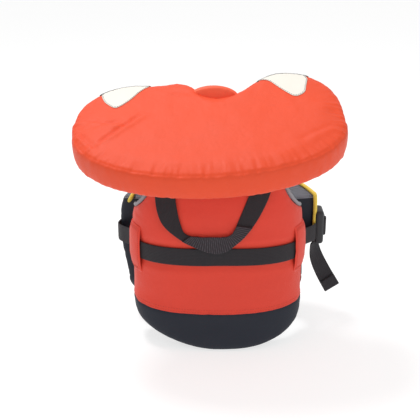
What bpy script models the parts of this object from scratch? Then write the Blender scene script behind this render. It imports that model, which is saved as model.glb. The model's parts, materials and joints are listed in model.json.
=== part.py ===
"""Child's life jacket with a folding head-support collar: one solid for each sewn or moulded piece.

Metres, +Z up. The jacket stands on its hem, closed at the front but not zipped or buckled. The back
panel faces -Y, +X is the wearer's right, and the origin is the bottom centre of the whole jacket.

Soft panels are cut flat and then bent. Around the body a flat point (s, z) is the arc length from the
middle of the back and the height, and d is the distance out from the wearer. On the collar a flat
point is (p, r): p across, r forward from the fold, and d is the height over the collar's top.
"""
from math import ceil, copysign, cos, floor, pi, radians, sin

import bmesh
import bpy
import numpy as np
from mathutils import Matrix, Vector

# Body: the wearer's section is a superellipse
BODY_HALF_WIDTH = 0.098
BODY_HALF_DEPTH = 0.056
BODY_POWER = 3.2
LEAN_START_Z = 0.200
LEAN_END_Z = 0.310
LEAN_SHARE = 0.30
BEND_STEP = 0.012
BEND_HEIGHTS = (0.170, 0.200, 0.225, 0.250, 0.275)

# Cloth, foam and gaps
CLOTH = 0.0012
GAP = 0.0006
WEBBING = 0.0018
WEBBING_WIDTH = 0.025

# Back panel
BACK_THICK = 0.020
BACK_HALF_ARC = 0.124
BACK_TOP_Z = 0.294
HEM_RISE = 0.057
HEM_POWER = 2.4
SEAM_Z = 0.053
SEAM_RISE = 0.011
ARMHOLE_Z = 0.192
STRAP_ARC = 0.074
BINDING_RADIUS = 0.0018

# Front panels
FRONT_THICK = 0.036
FRONT_REAR_ARC = 0.152
FRONT_EDGE_ARC = 0.251
FRONT_SEAM_Z = 0.066
FRONT_HEM_RISE = 0.057
FRONT_FLAT_ARC = 0.196
FRONT_NECK_Z = 0.205
FRONT_TOP_Z = 0.272
FRONT_STRAP_ARCS = (0.200, 0.226)
TAPER_START_Z = 0.170
PIPING_RADIUS = 0.0028
TAPER_SHARE = 0.45
FRONT_HINGE = (0.112, 0.005)

# Waist belt and its loops
BELT_Z = 0.1395
BELT_DEPTH = BACK_THICK + 0.0016
LOOP_ARCS = (0.099, 0.122)
LOOP_HEIGHTS = (0.115, 0.182)
LOOP_BULGE = 0.0045

# Grab handle
HANDLE_TOP = (0.0, -0.0748, 0.252)
HANDLE_TILT = radians(4.3)
HANDLE_HALF_TOP = 0.0625
HANDLE_OUTER = ((-0.0750, 0.0), (-0.0770, -0.0310), (-0.0660, -0.0690), (-0.0304, -0.0940),
                (-0.0066, -0.1055), (0.0112, -0.1030), (0.0290, -0.0880), (0.0528, -0.0625),
                (0.0700, -0.0245), (0.0750, 0.0))
HANDLE_INNER = ((0.0500, 0.0), (0.0400, -0.0310), (0.0231, -0.0720), (0.0158, -0.0810),
                (-0.0370, -0.0810), (-0.0422, -0.0750), (-0.0508, -0.0310), (-0.0500, 0.0))

# Collar
COLLAR_HALF_WIDTH = 0.174
COLLAR_SIDE_R = -0.068
COLLAR_NEAR = 0.097
COLLAR_FAR = 0.118
COLLAR_NEAR_POWER = 2.4
COLLAR_FAR_POWER = 2.6
COLLAR_THICK = 0.037
COLLAR_FOLD = (-0.007, -0.042, 0.351)
COLLAR_TILT = radians(20.5)
COLLAR_YAW = radians(3.0)
COLLAR_ROLL = radians(2.6)
NOTCH_HALF_WIDTH = 0.088
NOTCH_DEPTH = 0.050
HORN_START = 0.039
PATCH_ENDS = (0.074, 0.134)
PATCH_SAG = 0.020
YOKE_HALF_WIDTH = 0.0315
YOKE_X = -0.0032
YOKE_HEIGHTS = (0.048, 0.066)
FOLD_GAP = 0.0006

# Zip
ZIP_DEPTH = 0.029
ZIP_BOTTOM_Z = 0.042
ZIP_TOP_Z = 0.203
ZIP_RIGHT_Z = 0.065
TOOTH_PITCH = 0.0040
TOOTH_SIZE = (0.0036, 0.0032, 0.0022)
TOOTH_X = 0.0043
SLIDER_Z = 0.0525
SLIDER_SIZE = (0.0172, 0.0078, 0.0190)
PULL_LENGTH = 0.028

# Side-release buckle, adjuster and loose end
BUCKLE_Y = 0.0995
FEMALE_X = (0.010, 0.044)
MALE_X = (-0.056, -0.030)
BUCKLE_SIZE = (0.034, 0.011)
CAVITY = (0.024, 0.0064)
PRONG_LENGTH = 0.022
PRONG_Z = 0.009
ADJUSTER_CENTRE = (0.1485, 0.036, 0.1440)
ADJUSTER_SIZE = (0.0130, 0.034, 0.050)
TAIL_TOP = (0.1460, 0.036, 0.1140)
TAIL_LENGTH = 0.070
TAIL_SPLAY = radians(22)
TAIL_TWIST = radians(25)

# Colours (linear RGB) with roughness
FINISHES = {
    "orange_cloth": ((0.72, 0.075, 0.055), 0.60),
    "orange_coated": ((0.93, 0.13, 0.07), 0.45),
    "navy_cloth": ((0.030, 0.033, 0.045), 0.70),
    "grey_mesh": ((0.16, 0.17, 0.20), 0.80),
    "grey_tape": ((0.30, 0.31, 0.33), 0.70),
    "black_webbing": ((0.030, 0.032, 0.035), 0.75),
    "black_plastic": ((0.015, 0.015, 0.017), 0.35),
    "yellow_piping": ((0.90, 0.72, 0.10), 0.50),
    "reflective_tape": ((0.85, 0.87, 0.86), 0.30),
    "white_foam": ((0.75, 0.75, 0.72), 0.90),
}


# ---------------------------------------------------------------- scene

def clear_scene():
    for old in list(bpy.data.objects):
        bpy.data.objects.remove(old, do_unlink=True)


def new_collection(name):
    collection = bpy.data.collections.new(name)
    bpy.context.scene.collection.children.link(collection)
    return collection


def make_material(slot, part_name):
    colour, roughness = FINISHES[slot]
    material = bpy.data.materials.new(f"{part_name}_{slot}")
    material.use_nodes = True
    shader = material.node_tree.nodes["Principled BSDF"]
    shader.inputs["Base Color"].default_value = (*colour, 1.0)
    shader.inputs["Roughness"].default_value = roughness
    shader.inputs["Metallic"].default_value = 0.0
    return material


clear_scene()
PARTS = new_collection("life_jacket")
CUTTERS = new_collection("cutters")


def make_pivot(name, place, parent=None):
    """An empty on a joint's axis; what moves with the joint is parented to it."""
    pivot = bpy.data.objects.new(name, None)
    PARTS.objects.link(pivot)
    pivot.location = Vector(place) - (parent.matrix_world.translation if parent else Vector())
    pivot.parent = parent
    bpy.context.view_layer.update()
    return pivot


def add_part(name, mesh_data, slot, pivot):
    """A named object whose mesh is in jacket coordinates, carried by its pivot."""
    mesh_data.transform(Matrix.Translation(-pivot.matrix_world.translation))
    part = bpy.data.objects.new(name, mesh_data)
    PARTS.objects.link(part)
    part.parent = pivot
    mesh_data.materials.append(make_material(slot, name))
    return part


def mesh_from(bm, name):
    mesh_data = bpy.data.meshes.new(name)
    bm.to_mesh(mesh_data)
    bm.free()
    return mesh_data


def solidify(part, thickness, offset=0.0):
    modifier = part.modifiers.new("thickness", "SOLIDIFY")
    modifier.thickness = thickness
    modifier.offset = offset
    modifier.use_even_offset = True


def bevel(part, width, segments=1):
    modifier = part.modifiers.new("edges", "BEVEL")
    modifier.width = width
    modifier.segments = segments
    modifier.limit_method = "ANGLE"


def boolean(part, tool, operation="DIFFERENCE"):
    modifier = part.modifiers.new(tool.name, "BOOLEAN")
    modifier.operation = operation
    modifier.solver = "EXACT"
    modifier.object = tool


# ---------------------------------------------------------------- bending maps

def body_section():
    """Arc length, x and y along half of the wearer's section, from mid back to mid front."""
    angle = np.linspace(0.0, pi, 4001)
    across = np.abs(np.sin(angle)) ** (2 / BODY_POWER)
    along = np.abs(np.cos(angle)) ** (2 / BODY_POWER) * np.sign(np.cos(angle))
    x = BODY_HALF_WIDTH * across
    y = -BODY_HALF_DEPTH * along
    steps = np.hypot(np.diff(x), np.diff(y))
    return np.concatenate(([0.0], np.cumsum(steps))), x, y


ARC, ARC_X, ARC_Y = body_section()
HALF_GIRTH = ARC[-1]


def around_body(s, z, d):
    """Bend a flat point round the wearer; above the chest the jacket leans in to the neck."""
    reach = 0.002
    arc = abs(s)
    x = np.interp(arc, ARC, ARC_X)
    y = np.interp(arc, ARC, ARC_Y)
    ahead = max(0.0, arc - reach), min(HALF_GIRTH, arc + reach)
    run_x = np.interp(ahead[1], ARC, ARC_X) - np.interp(ahead[0], ARC, ARC_X)
    run_y = np.interp(ahead[1], ARC, ARC_Y) - np.interp(ahead[0], ARC, ARC_Y)
    length = np.hypot(run_x, run_y)
    x += run_y / length * d
    y -= run_x / length * d
    lean = min(max((z - LEAN_START_Z) / (LEAN_END_Z - LEAN_START_Z), 0.0), 1.0) ** 1.5
    return Vector((copysign(x, s), y * (1 - LEAN_SHARE * lean), z))


def around_front(s, z, d):
    """As around_body, for the front panels, which thin out towards the shoulders."""
    rise = min(max((z - TAPER_START_Z) / (FRONT_TOP_Z - TAPER_START_Z), 0.0), 1.0)
    return around_body(s, z, d * (1 - TAPER_SHARE * rise))


def flat_plane(origin, across, upward):
    """A map onto the plane through origin; d is measured along across x upward."""
    across = Vector(across).normalized()
    upward = Vector(upward).normalized()
    normal = across.cross(upward)
    return lambda u, v, d: Vector(origin) + across * u + upward * v + normal * d


def collar_plane():
    """The collar lies a little askew: its right end is further forward and higher."""
    turn = Matrix.Rotation(COLLAR_YAW, 3, "Z") @ Matrix.Rotation(-COLLAR_ROLL, 3, "Y")
    turn @= Matrix.Rotation(COLLAR_TILT, 3, "X")
    return flat_plane(COLLAR_FOLD, turn.col[0], turn.col[1])


on_collar = collar_plane()
on_handle = flat_plane(HANDLE_TOP, (1, 0, 0), (0, sin(HANDLE_TILT), cos(HANDLE_TILT)))


# ---------------------------------------------------------------- flat outlines

def sample(function, start, end, count):
    return [function(start + (end - start) * i / count) for i in range(count + 1)]


def refine(outline, step=BEND_STEP):
    """Extra points on the long stretches of a closed outline."""
    points = []
    for (u0, v0), (u1, v1) in zip(outline, outline[1:] + outline[:1]):
        count = max(1, round(np.hypot(u1 - u0, v1 - v0) / step))
        points += [(u0 + (u1 - u0) * i / count, v0 + (v1 - v0) * i / count) for i in range(count)]
    return points


def inset(outline, distance):
    """The outline moved inwards; outlines run counterclockwise."""
    count = len(outline)
    moved = []
    for i in range(count):
        before, here, after = (Vector(outline[(i + k) % count]) for k in (-1, 0, 1))
        first = (here - before).normalized()
        second = (after - here).normalized()
        corner = (Vector((-first.y, first.x)) + Vector((-second.y, second.x))).normalized()
        reach = distance / max(0.5, corner.dot(Vector((-first.y, first.x))))
        moved.append(tuple(here + corner * reach))
    return moved


def beside(points, distance):
    """An open line of points moved to its right."""
    moved = []
    for i, here in enumerate(points):
        run = Vector(points[min(i + 1, len(points) - 1)]) - Vector(points[max(i - 1, 0)])
        run.normalize()
        moved.append((here[0] + run.y * distance, here[1] - run.x * distance))
    return moved


def mirrored(outline):
    return [(-u, v) for u, v in reversed(outline)]


def rectangle(u0, u1, v0, v1):
    return [(u0, v0), (u1, v0), (u1, v1), (u0, v1)]


def hem_height(s):
    return HEM_RISE * (abs(s) / BACK_HALF_ARC) ** HEM_POWER


def seam_height(s):
    return SEAM_Z + SEAM_RISE * (s / BACK_HALF_ARC) ** 2


def armhole(t):
    """Right armhole of the back panel, from the side seam (t=0) up to the shoulder (t=1)."""
    angle = t * pi / 2
    s = STRAP_ARC + (BACK_HALF_ARC - STRAP_ARC) * (1 - sin(angle)) ** 1.15
    z = ARMHOLE_Z + (BACK_TOP_Z - ARMHOLE_Z) * (1 - cos(angle)) ** 0.95
    return s, z


def back_outline(lower_edge):
    """The back panel above a lower edge, which is a function of s."""
    bottom = sample(lambda s: (s, lower_edge(s)), -BACK_HALF_ARC, BACK_HALF_ARC, 24)
    right = sample(armhole, 0.0, 1.0, 9)
    return bottom + right + mirrored(right)


def hem_outline():
    hem = sample(lambda s: (s, hem_height(s)), -BACK_HALF_ARC, BACK_HALF_ARC, 24)
    seam = sample(lambda s: (s, seam_height(s) - GAP), BACK_HALF_ARC, -BACK_HALF_ARC, 24)
    return hem + seam


def front_side_curve(t):
    """Armhole of the right front panel, from the shoulder (t=0) down to the side (t=1)."""
    angle = t * pi / 2
    s = FRONT_STRAP_ARCS[0] - (FRONT_STRAP_ARCS[0] - FRONT_REAR_ARC) * (1 - cos(angle))
    return s, FRONT_TOP_Z - (FRONT_TOP_Z - ARMHOLE_Z) * sin(angle)


def front_neck_curve(t):
    """Neckline of the right front panel, from the zip (t=0) up to the shoulder (t=1)."""
    angle = t * pi / 2
    s = FRONT_EDGE_ARC - (FRONT_EDGE_ARC - FRONT_STRAP_ARCS[1]) * sin(angle)
    return s, FRONT_NECK_Z + (FRONT_TOP_Z - FRONT_NECK_Z) * (1 - cos(angle))


def front_hem(s):
    """The front hem stands flat on the floor near the zip and sweeps up to the side seam."""
    share = max(0.0, FRONT_FLAT_ARC - s) / (FRONT_FLAT_ARC - FRONT_REAR_ARC)
    return s, FRONT_HEM_RISE * share ** 1.6


def front_lower_edge():
    return sample(front_hem, FRONT_REAR_ARC, FRONT_FLAT_ARC, 7) + [(FRONT_EDGE_ARC, 0.0)]


def front_outline(lower_edge):
    return lower_edge + sample(front_neck_curve, 0.0, 1.0, 6) + sample(front_side_curve, 0.0, 1.0, 7)


def near_edge(angle):
    """The collar's outline behind its widest points; the angle runs from pi to 2 pi."""
    p = COLLAR_HALF_WIDTH * copysign(abs(cos(angle)) ** (2 / COLLAR_NEAR_POWER), cos(angle))
    return p, COLLAR_SIDE_R - COLLAR_NEAR * abs(sin(angle)) ** (2 / COLLAR_NEAR_POWER)


def far_edge(p):
    """How far forward the collar reaches at p, with the notch for the wearer's neck."""
    share = max(0.0, 1 - (abs(p) / COLLAR_HALF_WIDTH) ** COLLAR_FAR_POWER)
    r = COLLAR_SIDE_R + COLLAR_FAR * share ** (1 / COLLAR_FAR_POWER)
    notch = max(0.0, 1 - (p / NOTCH_HALF_WIDTH) ** 2) ** 1.3
    return r - NOTCH_DEPTH * notch


def fold_half_width():
    """Where the collar's outline crosses the fold."""
    share = 1 - (-COLLAR_SIDE_R / COLLAR_FAR) ** COLLAR_FAR_POWER
    return COLLAR_HALF_WIDTH * share ** (1 / COLLAR_FAR_POWER)


def pillow_outline():
    near = sample(near_edge, pi, 2 * pi, 32)
    fold = fold_half_width()
    side = [(p, min(far_edge(p), -FOLD_GAP)) for p in (0.1725, 0.170, 0.166, 0.162, fold)]
    return near + side + mirrored(side)


def horn_outline():
    """The right-hand part of the collar in front of the fold."""
    outer_end = fold_half_width() - 0.002
    edge = sample(lambda p: (p, far_edge(p)), outer_end, HORN_START, 16)
    return [(HORN_START, FOLD_GAP), (outer_end, FOLD_GAP)] + edge[1:-1] + [(HORN_START, far_edge(HORN_START))]


def patch_outline():
    """The reflective patch on a horn: its outer side follows the horn's edge."""
    inner_p, outer_p = PATCH_ENDS
    outer = sample(lambda p: (p, far_edge(p) - 0.003), outer_p, inner_p, 8)
    start, end = outer[-1], outer[0]

    def sagged(t):
        r = start[1] + (end[1] - start[1]) * t
        return start[0] + (end[0] - start[0]) * t, r - PATCH_SAG * sin(pi * t) ** 0.8

    return sample(sagged, 0.0, 1.0, 8)[1:-1] + outer


# ---------------------------------------------------------------- cloth and foam

def add_sheet(name, outline, bend, depth, thickness, slot, pivot, bends=True):
    """A flat pattern, creased so that it can bend, made thick about one depth and then bent."""
    bm = bmesh.new()
    bm.faces.new([bm.verts.new((u, v, depth - thickness / 2)) for u, v in outline])
    cuts = []
    if bends:
        first = ceil(min(u for u, _ in outline) / BEND_STEP)
        last = floor(max(u for u, _ in outline) / BEND_STEP)
        cuts += [((i * BEND_STEP, 0, 0), (1, 0, 0)) for i in range(first, last + 1)]
        cuts += [((0, height, 0), (0, 1, 0)) for height in BEND_HEIGHTS]
    for place, normal in cuts:
        whole = bm.verts[:] + bm.edges[:] + bm.faces[:]
        bmesh.ops.bisect_plane(bm, geom=whole, dist=0.0008, plane_co=place, plane_no=normal)
    bm.normal_update()
    bmesh.ops.triangulate(bm, faces=bm.faces[:])
    raised = bmesh.ops.extrude_face_region(bm, geom=bm.faces[:])["geom"]
    for vert in raised:
        if isinstance(vert, bmesh.types.BMVert):
            vert.co.z = depth + thickness / 2
    bmesh.ops.recalc_face_normals(bm, faces=bm.faces[:])
    for vert in bm.verts:
        vert.co = bend(*vert.co)
    return add_part(name, mesh_from(bm, name), slot, pivot)


def add_band(name, outline, bend, low, high, slot, pivot):
    """The strip of cloth round the edge of a boxed panel, thickened inwards."""
    bm = bmesh.new()
    lower = [bm.verts.new(bend(u, v, low)) for u, v in outline]
    upper = [bm.verts.new(bend(u, v, high)) for u, v in outline]
    for i in range(len(outline)):
        k = (i + 1) % len(outline)
        bm.faces.new((lower[i], lower[k], upper[k], upper[i]))
    part = add_part(name, mesh_from(bm, name), slot, pivot)
    solidify(part, CLOTH, offset=-1.0)
    return part


def add_boxed_panel(stem, outline, bend, inner, outer, slots, pivot, faces=None, bends=True):
    """A sewn panel from depth inner to outer: outer cloth, edge band, foam and lining."""
    cloth_slot, band_slot, lining_slot = slots
    for face_name, face_outline, face_slot in faces or [(f"{stem}_cover", outline, cloth_slot)]:
        add_sheet(face_name, face_outline, bend, outer - CLOTH / 2, CLOTH, face_slot, pivot, bends)
    skin = CLOTH + 2 * GAP
    add_band(f"{stem}_band", outline, bend, inner + skin, outer - skin, band_slot, pivot)
    add_sheet(f"{stem}_lining", outline, bend, inner + CLOTH / 2, CLOTH, lining_slot, pivot, bends)
    add_sheet(f"{stem}_foam", inset(outline, skin), bend, (inner + outer) / 2, outer - inner - 2 * skin,
              "white_foam", pivot, bends)


def add_tube(name, points, radius, slot, pivot):
    curve = bpy.data.curves.new(name, "CURVE")
    curve.dimensions = "3D"
    curve.bevel_depth = radius
    curve.bevel_resolution = 1
    curve.use_fill_caps = True
    spline = curve.splines.new("POLY")
    spline.points.add(len(points) - 1)
    for point, place in zip(spline.points, points):
        point.co = (*(Vector(place) - pivot.matrix_world.translation), 1.0)
    tube = bpy.data.objects.new(name, curve)
    PARTS.objects.link(tube)
    tube.parent = pivot
    curve.materials.append(make_material(slot, name))
    return tube


def box_bmesh(low, high):
    bm = bmesh.new()
    size = Vector(high) - Vector(low)
    middle = (Vector(high) + Vector(low)) / 2
    bmesh.ops.create_cube(bm, size=1.0, matrix=Matrix.Translation(middle) @ Matrix.Diagonal((*size, 1.0)))
    return bm


def add_box(name, low, high, slot, pivot, edge=0.0):
    part = add_part(name, mesh_from(box_bmesh(low, high), name), slot, pivot)
    if edge:
        bevel(part, edge, segments=2)
    return part


def cut_box(part, name, low, high, operation="DIFFERENCE"):
    """Cut a box out of the part, or join one to it."""
    mesh_data = mesh_from(box_bmesh(low, high), name)
    mesh_data.transform(Matrix.Translation(-part.parent.matrix_world.translation))
    tool = bpy.data.objects.new(name, mesh_data)
    CUTTERS.objects.link(tool)
    tool.parent = part.parent
    tool.hide_render = True
    tool.display_type = "WIRE"
    boolean(part, tool, operation)


# ---------------------------------------------------------------- back and shoulders

def build_back(root):
    whole = refine(back_outline(hem_height))
    upper = refine(back_outline(lambda s: seam_height(s) + GAP))
    faces = [
        ("back_upper_cover", upper, "orange_cloth"),
        ("back_hem_cover", refine(hem_outline()), "navy_cloth"),
    ]
    slots = ("orange_cloth", "orange_cloth", "grey_mesh")
    add_boxed_panel("back", whole, around_body, 0.0, BACK_THICK, slots, root, faces)
    for side, name in ((-1, "left"), (1, "right")):
        edge = beside(sample(armhole, 0.04, 0.96, 12), BINDING_RADIUS + GAP)
        route = [around_body(side * s, z, BACK_THICK - 0.003) for s, z in edge]
        add_tube(f"armhole_binding_{name}", route, BINDING_RADIUS, "grey_tape", root)


def build_side_panel(side, name, root):
    """The thin mesh piece that joins back and front under the arm."""
    low, high = sorted((side * (BACK_HALF_ARC + GAP), side * (FRONT_REAR_ARC - 0.0025)))
    add_sheet(f"side_panel_{name}", rectangle(low, high, 0.072, 0.182), around_body, 0.004, 0.0024,
              "grey_mesh", root)


def build_shoulder_strap(side, name, root):
    """Padded strap from the back panel over the shoulder towards the front panel."""
    route = [(-0.0475, 0.3000), (-0.0350, 0.3060), (-0.0150, 0.3115), (0.0080, 0.3105),
             (0.0300, 0.3010), (0.0440, 0.2890), (0.0525, 0.2770)]
    bm = bmesh.new()
    inner = bmesh.ops.create_grid(bm, x_segments=1, y_segments=len(route) - 1, size=1.0)["verts"]
    for vert in inner:
        step = round((vert.co.y + 1) / 2 * (len(route) - 1))
        share = (vert.co.x + 1) / 2
        width = (0.036, 0.062) if side > 0 else (-0.062, -0.036)
        vert.co = Vector((width[0] + (width[1] - width[0]) * share, *route[step]))
    part = add_part(f"shoulder_strap_{name}", mesh_from(bm, name), "grey_mesh", root)
    solidify(part, 0.008)


def build_neck_yoke(root):
    """The arched tongue of the back panel that stands up behind the neck."""
    plane = flat_plane((YOKE_X, -0.0180, BACK_TOP_Z + 0.0015), (1, 0, 0), (0, -0.18, 1))
    side, top = YOKE_HEIGHTS
    arch = sample(lambda a: (YOKE_HALF_WIDTH * cos(a), side + (top - side) * sin(a)), 0.0, pi, 12)
    outline = [(-YOKE_HALF_WIDTH, 0.0), (YOKE_HALF_WIDTH, 0.0)] + arch
    add_sheet("neck_yoke", outline, plane, 0.0, 0.004, "orange_cloth", root, bends=False)


# ---------------------------------------------------------------- belt and handle

def build_waist_belt(root):
    belt = rectangle(-0.126, 0.126, BELT_Z - WEBBING_WIDTH / 2, BELT_Z + WEBBING_WIDTH / 2)
    add_sheet("waist_belt_back", belt, around_body, BELT_DEPTH, WEBBING, "black_webbing", root)


def build_belt_loop(side, name, root):
    """A cloth sleeve sewn down above and below the belt, bowed out over it."""
    middle = sum(LOOP_HEIGHTS) / 2
    half = (LOOP_HEIGHTS[1] - LOOP_HEIGHTS[0]) / 2
    low, high = sorted(side * arc for arc in LOOP_ARCS)

    def bowed(s, z, d):
        share = max(0.0, 1 - ((z - middle) / half) ** 4)
        return around_body(s, z, d + LOOP_BULGE * share)

    bm = bmesh.new()
    cells = 8
    for vert in bmesh.ops.create_grid(bm, x_segments=3, y_segments=cells, size=1.0)["verts"]:
        s = low + (high - low) * (vert.co.x + 1) / 2
        z = middle + half * vert.co.y
        vert.co = bowed(s, z, BACK_THICK + 0.0012)
    part = add_part(f"belt_loop_{name}", mesh_from(bm, name), "orange_cloth", root)
    solidify(part, 0.0012)


def build_handle(root, handle):
    add_sheet("grab_handle", HANDLE_OUTER + HANDLE_INNER, on_handle, 0.0, 0.0022, "black_webbing", handle, bends=False)
    half = WEBBING_WIDTH / 2
    for side, name in ((-1, "left"), (1, "right")):
        low, high = sorted((side * (HANDLE_HALF_TOP - half), side * (HANDLE_HALF_TOP + half)))
        tab = rectangle(low, high, HANDLE_TOP[2] + 0.002, HANDLE_TOP[2] + 0.022)
        add_sheet(f"handle_anchor_{name}", tab, around_body, BACK_THICK + 0.0018, WEBBING,
                  "black_webbing", root)


# ---------------------------------------------------------------- collar

def build_collar(root, collar):
    slots = ("orange_coated", "orange_cloth", "orange_cloth")
    add_boxed_panel("collar", pillow_outline(), on_collar, -COLLAR_THICK, 0.0, slots, collar, bends=False)
    for side, name in ((-1, "left"), (1, "right")):
        horn = horn_outline() if side > 0 else mirrored(horn_outline())
        patch = patch_outline() if side > 0 else mirrored(patch_outline())
        add_boxed_panel(f"horn_{name}", horn, on_collar, -COLLAR_THICK, 0.0, slots, root, bends=False)
        add_sheet(f"reflective_patch_{name}", patch, on_collar, 0.0007, 0.0006, "reflective_tape",
                  root, bends=False)


# ---------------------------------------------------------------- front panels

def build_front(side, name, pivot):
    def placed(outline):
        return outline if side > 0 else mirrored(outline)

    whole = refine(front_outline(front_lower_edge()))
    seam = [(s, FRONT_SEAM_Z + GAP) for s in (FRONT_REAR_ARC, FRONT_EDGE_ARC)]
    upper = refine(front_outline(seam))
    seam = [(s, FRONT_SEAM_Z - GAP) for s in (FRONT_EDGE_ARC, FRONT_REAR_ARC)]
    hem = refine(front_lower_edge() + seam)
    faces = [
        (f"front_upper_cover_{name}", placed(upper), "orange_cloth"),
        (f"front_hem_cover_{name}", placed(hem), "navy_cloth"),
    ]
    slots = ("orange_cloth", "navy_cloth", "grey_mesh")
    add_boxed_panel(f"front_{name}", placed(whole), around_front, 0.0, FRONT_THICK, slots, pivot, faces)
    edge = sample(front_side_curve, 0.15, 1.0, 7) + [(FRONT_REAR_ARC, 0.168), (FRONT_REAR_ARC, 0.145)]
    edge = beside(edge, PIPING_RADIUS + 2 * GAP)
    route = [around_front(side * s, z, FRONT_THICK - 0.001) for s, z in edge]
    add_tube(f"piping_{name}", route, PIPING_RADIUS, "yellow_piping", pivot)


# ---------------------------------------------------------------- zip

def comb_outline(bottom, top):
    """One row of teeth joined by the bead that grips the tape."""
    tip = TOOTH_X - TOOTH_SIZE[0] / 2
    bead = TOOTH_X
    outer = TOOTH_X + TOOTH_SIZE[0] / 2
    count = int((top - bottom) / TOOTH_PITCH)
    points = [(outer, bottom), (outer, bottom + count * TOOTH_PITCH)]
    for i in reversed(range(count)):
        low = bottom + i * TOOTH_PITCH
        high = low + TOOTH_SIZE[2]
        points += [(bead, high), (tip, high), (tip, low), (bead, low)]
    return points


def build_zip_side(side, name, pivot):
    bottom = ZIP_BOTTOM_Z if side < 0 else ZIP_RIGHT_Z
    zip_y = BODY_HALF_DEPTH + ZIP_DEPTH
    tape_low, tape_high = sorted((side * (TOOTH_X + TOOTH_SIZE[0] / 2 + GAP), side * 0.0132))
    add_box(f"zip_tape_{name}", (tape_low, zip_y - 0.0005, bottom), (tape_high, zip_y + 0.0005, ZIP_TOP_Z),
            "black_webbing", pivot)
    comb = comb_outline(bottom + 0.002, ZIP_TOP_Z - 0.002)
    plane = flat_plane((0.0, zip_y, 0.0), (1, 0, 0), (0, 0, 1))
    add_sheet(f"zip_teeth_{name}", comb if side > 0 else mirrored(comb), plane, 0.0, TOOTH_SIZE[1],
              "black_plastic", pivot, bends=False)


def build_zip_ends(left, right):
    zip_y = BODY_HALF_DEPTH + ZIP_DEPTH
    add_box("zip_box", (-0.0085, zip_y - 0.003, 0.0315), (0.0015, zip_y + 0.003, ZIP_BOTTOM_Z - GAP),
            "black_plastic", left, edge=0.0008)
    add_box("zip_pin", (0.0026, zip_y - 0.0015, 0.0560), (0.0056, zip_y + 0.0015, ZIP_RIGHT_Z - GAP),
            "black_plastic", right, edge=0.0005)


def build_slider(slider, pull):
    """A slider with a channel for each row of teeth, and its pull on a bridge."""
    zip_y = BODY_HALF_DEPTH + ZIP_DEPTH
    half_x, half_y, half_z = (size / 2 for size in SLIDER_SIZE)
    face_y = zip_y + half_y
    part = add_box("zip_slider", (-half_x, zip_y - half_y, SLIDER_Z - half_z),
                   (half_x, face_y, SLIDER_Z + half_z), "black_plastic", slider)
    for side, name in ((-1, "left"), (1, "right")):
        low, high = sorted((side * 0.0016, side * 0.0070))
        cut_box(part, f"channel_{name}", (low, zip_y - 0.0021, 0.0), (high, zip_y + 0.0021, 0.1))
        low, high = sorted((side * 0.0069, side * 0.0100))
        cut_box(part, f"tape_slot_{name}", (low, zip_y - 0.0010, 0.0), (high, zip_y + 0.0010, 0.1))
    cut_box(part, "bridge", (-0.0012, face_y - 0.0005, SLIDER_Z - 0.0065),
            (0.0012, face_y + 0.0056, SLIDER_Z + 0.0065), "UNION")
    cut_box(part, "bridge_hole", (-0.002, face_y, SLIDER_Z - 0.0050),
            (0.002, face_y + 0.0042, SLIDER_Z + 0.0050))
    axis_y = pull.matrix_world.translation.y
    tab = add_box("zip_pull", (-0.0042, axis_y - 0.0008, SLIDER_Z - PULL_LENGTH),
                  (0.0042, axis_y + 0.0008, SLIDER_Z + 0.0012), "black_plastic", pull)
    cut_box(tab, "pull_window", (-0.0018, axis_y - 0.01, SLIDER_Z - 0.0095),
            (0.0018, axis_y + 0.01, SLIDER_Z - 0.0010))


# ---------------------------------------------------------------- buckle, adjuster, loose end

def build_front_belt(side, name, end_x, pivot):
    """Belt on the front panel, from the side seam to its half of the buckle."""
    start = FRONT_REAR_ARC + 0.002
    low, high = sorted((side * start, side * (HALF_GIRTH - end_x)))
    strip = rectangle(low, high, BELT_Z - WEBBING_WIDTH / 2, BELT_Z + WEBBING_WIDTH / 2)
    add_sheet(f"front_belt_{name}", strip, around_body, FRONT_THICK + 0.0016, WEBBING,
              "black_webbing", pivot)


def build_female(right):
    half_z = BUCKLE_SIZE[0] / 2
    half_y = BUCKLE_SIZE[1] / 2
    x0, x1 = FEMALE_X
    part = add_box("buckle_female", (x0, BUCKLE_Y - half_y, BELT_Z - half_z),
                   (x1, BUCKLE_Y + half_y, BELT_Z + half_z), "black_plastic", right)
    bevel(part, 0.002, segments=2)
    cavity_z = CAVITY[0] / 2
    cavity_y = CAVITY[1] / 2
    cut_box(part, "socket", (x0 - 0.01, BUCKLE_Y - cavity_y, BELT_Z - cavity_z),
            (x1 - 0.008, BUCKLE_Y + cavity_y, BELT_Z + cavity_z))
    cut_box(part, "side_windows", (x0 + 0.009, BUCKLE_Y - cavity_y, BELT_Z - half_z - 0.01),
            (x0 + 0.021, BUCKLE_Y + cavity_y, BELT_Z + half_z + 0.01))
    cut_box(part, "female_belt_slot", (x1 - 0.0055, BUCKLE_Y - 0.02, BELT_Z - 0.0131),
            (x1 - 0.0025, BUCKLE_Y + 0.02, BELT_Z + 0.0131))


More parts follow.
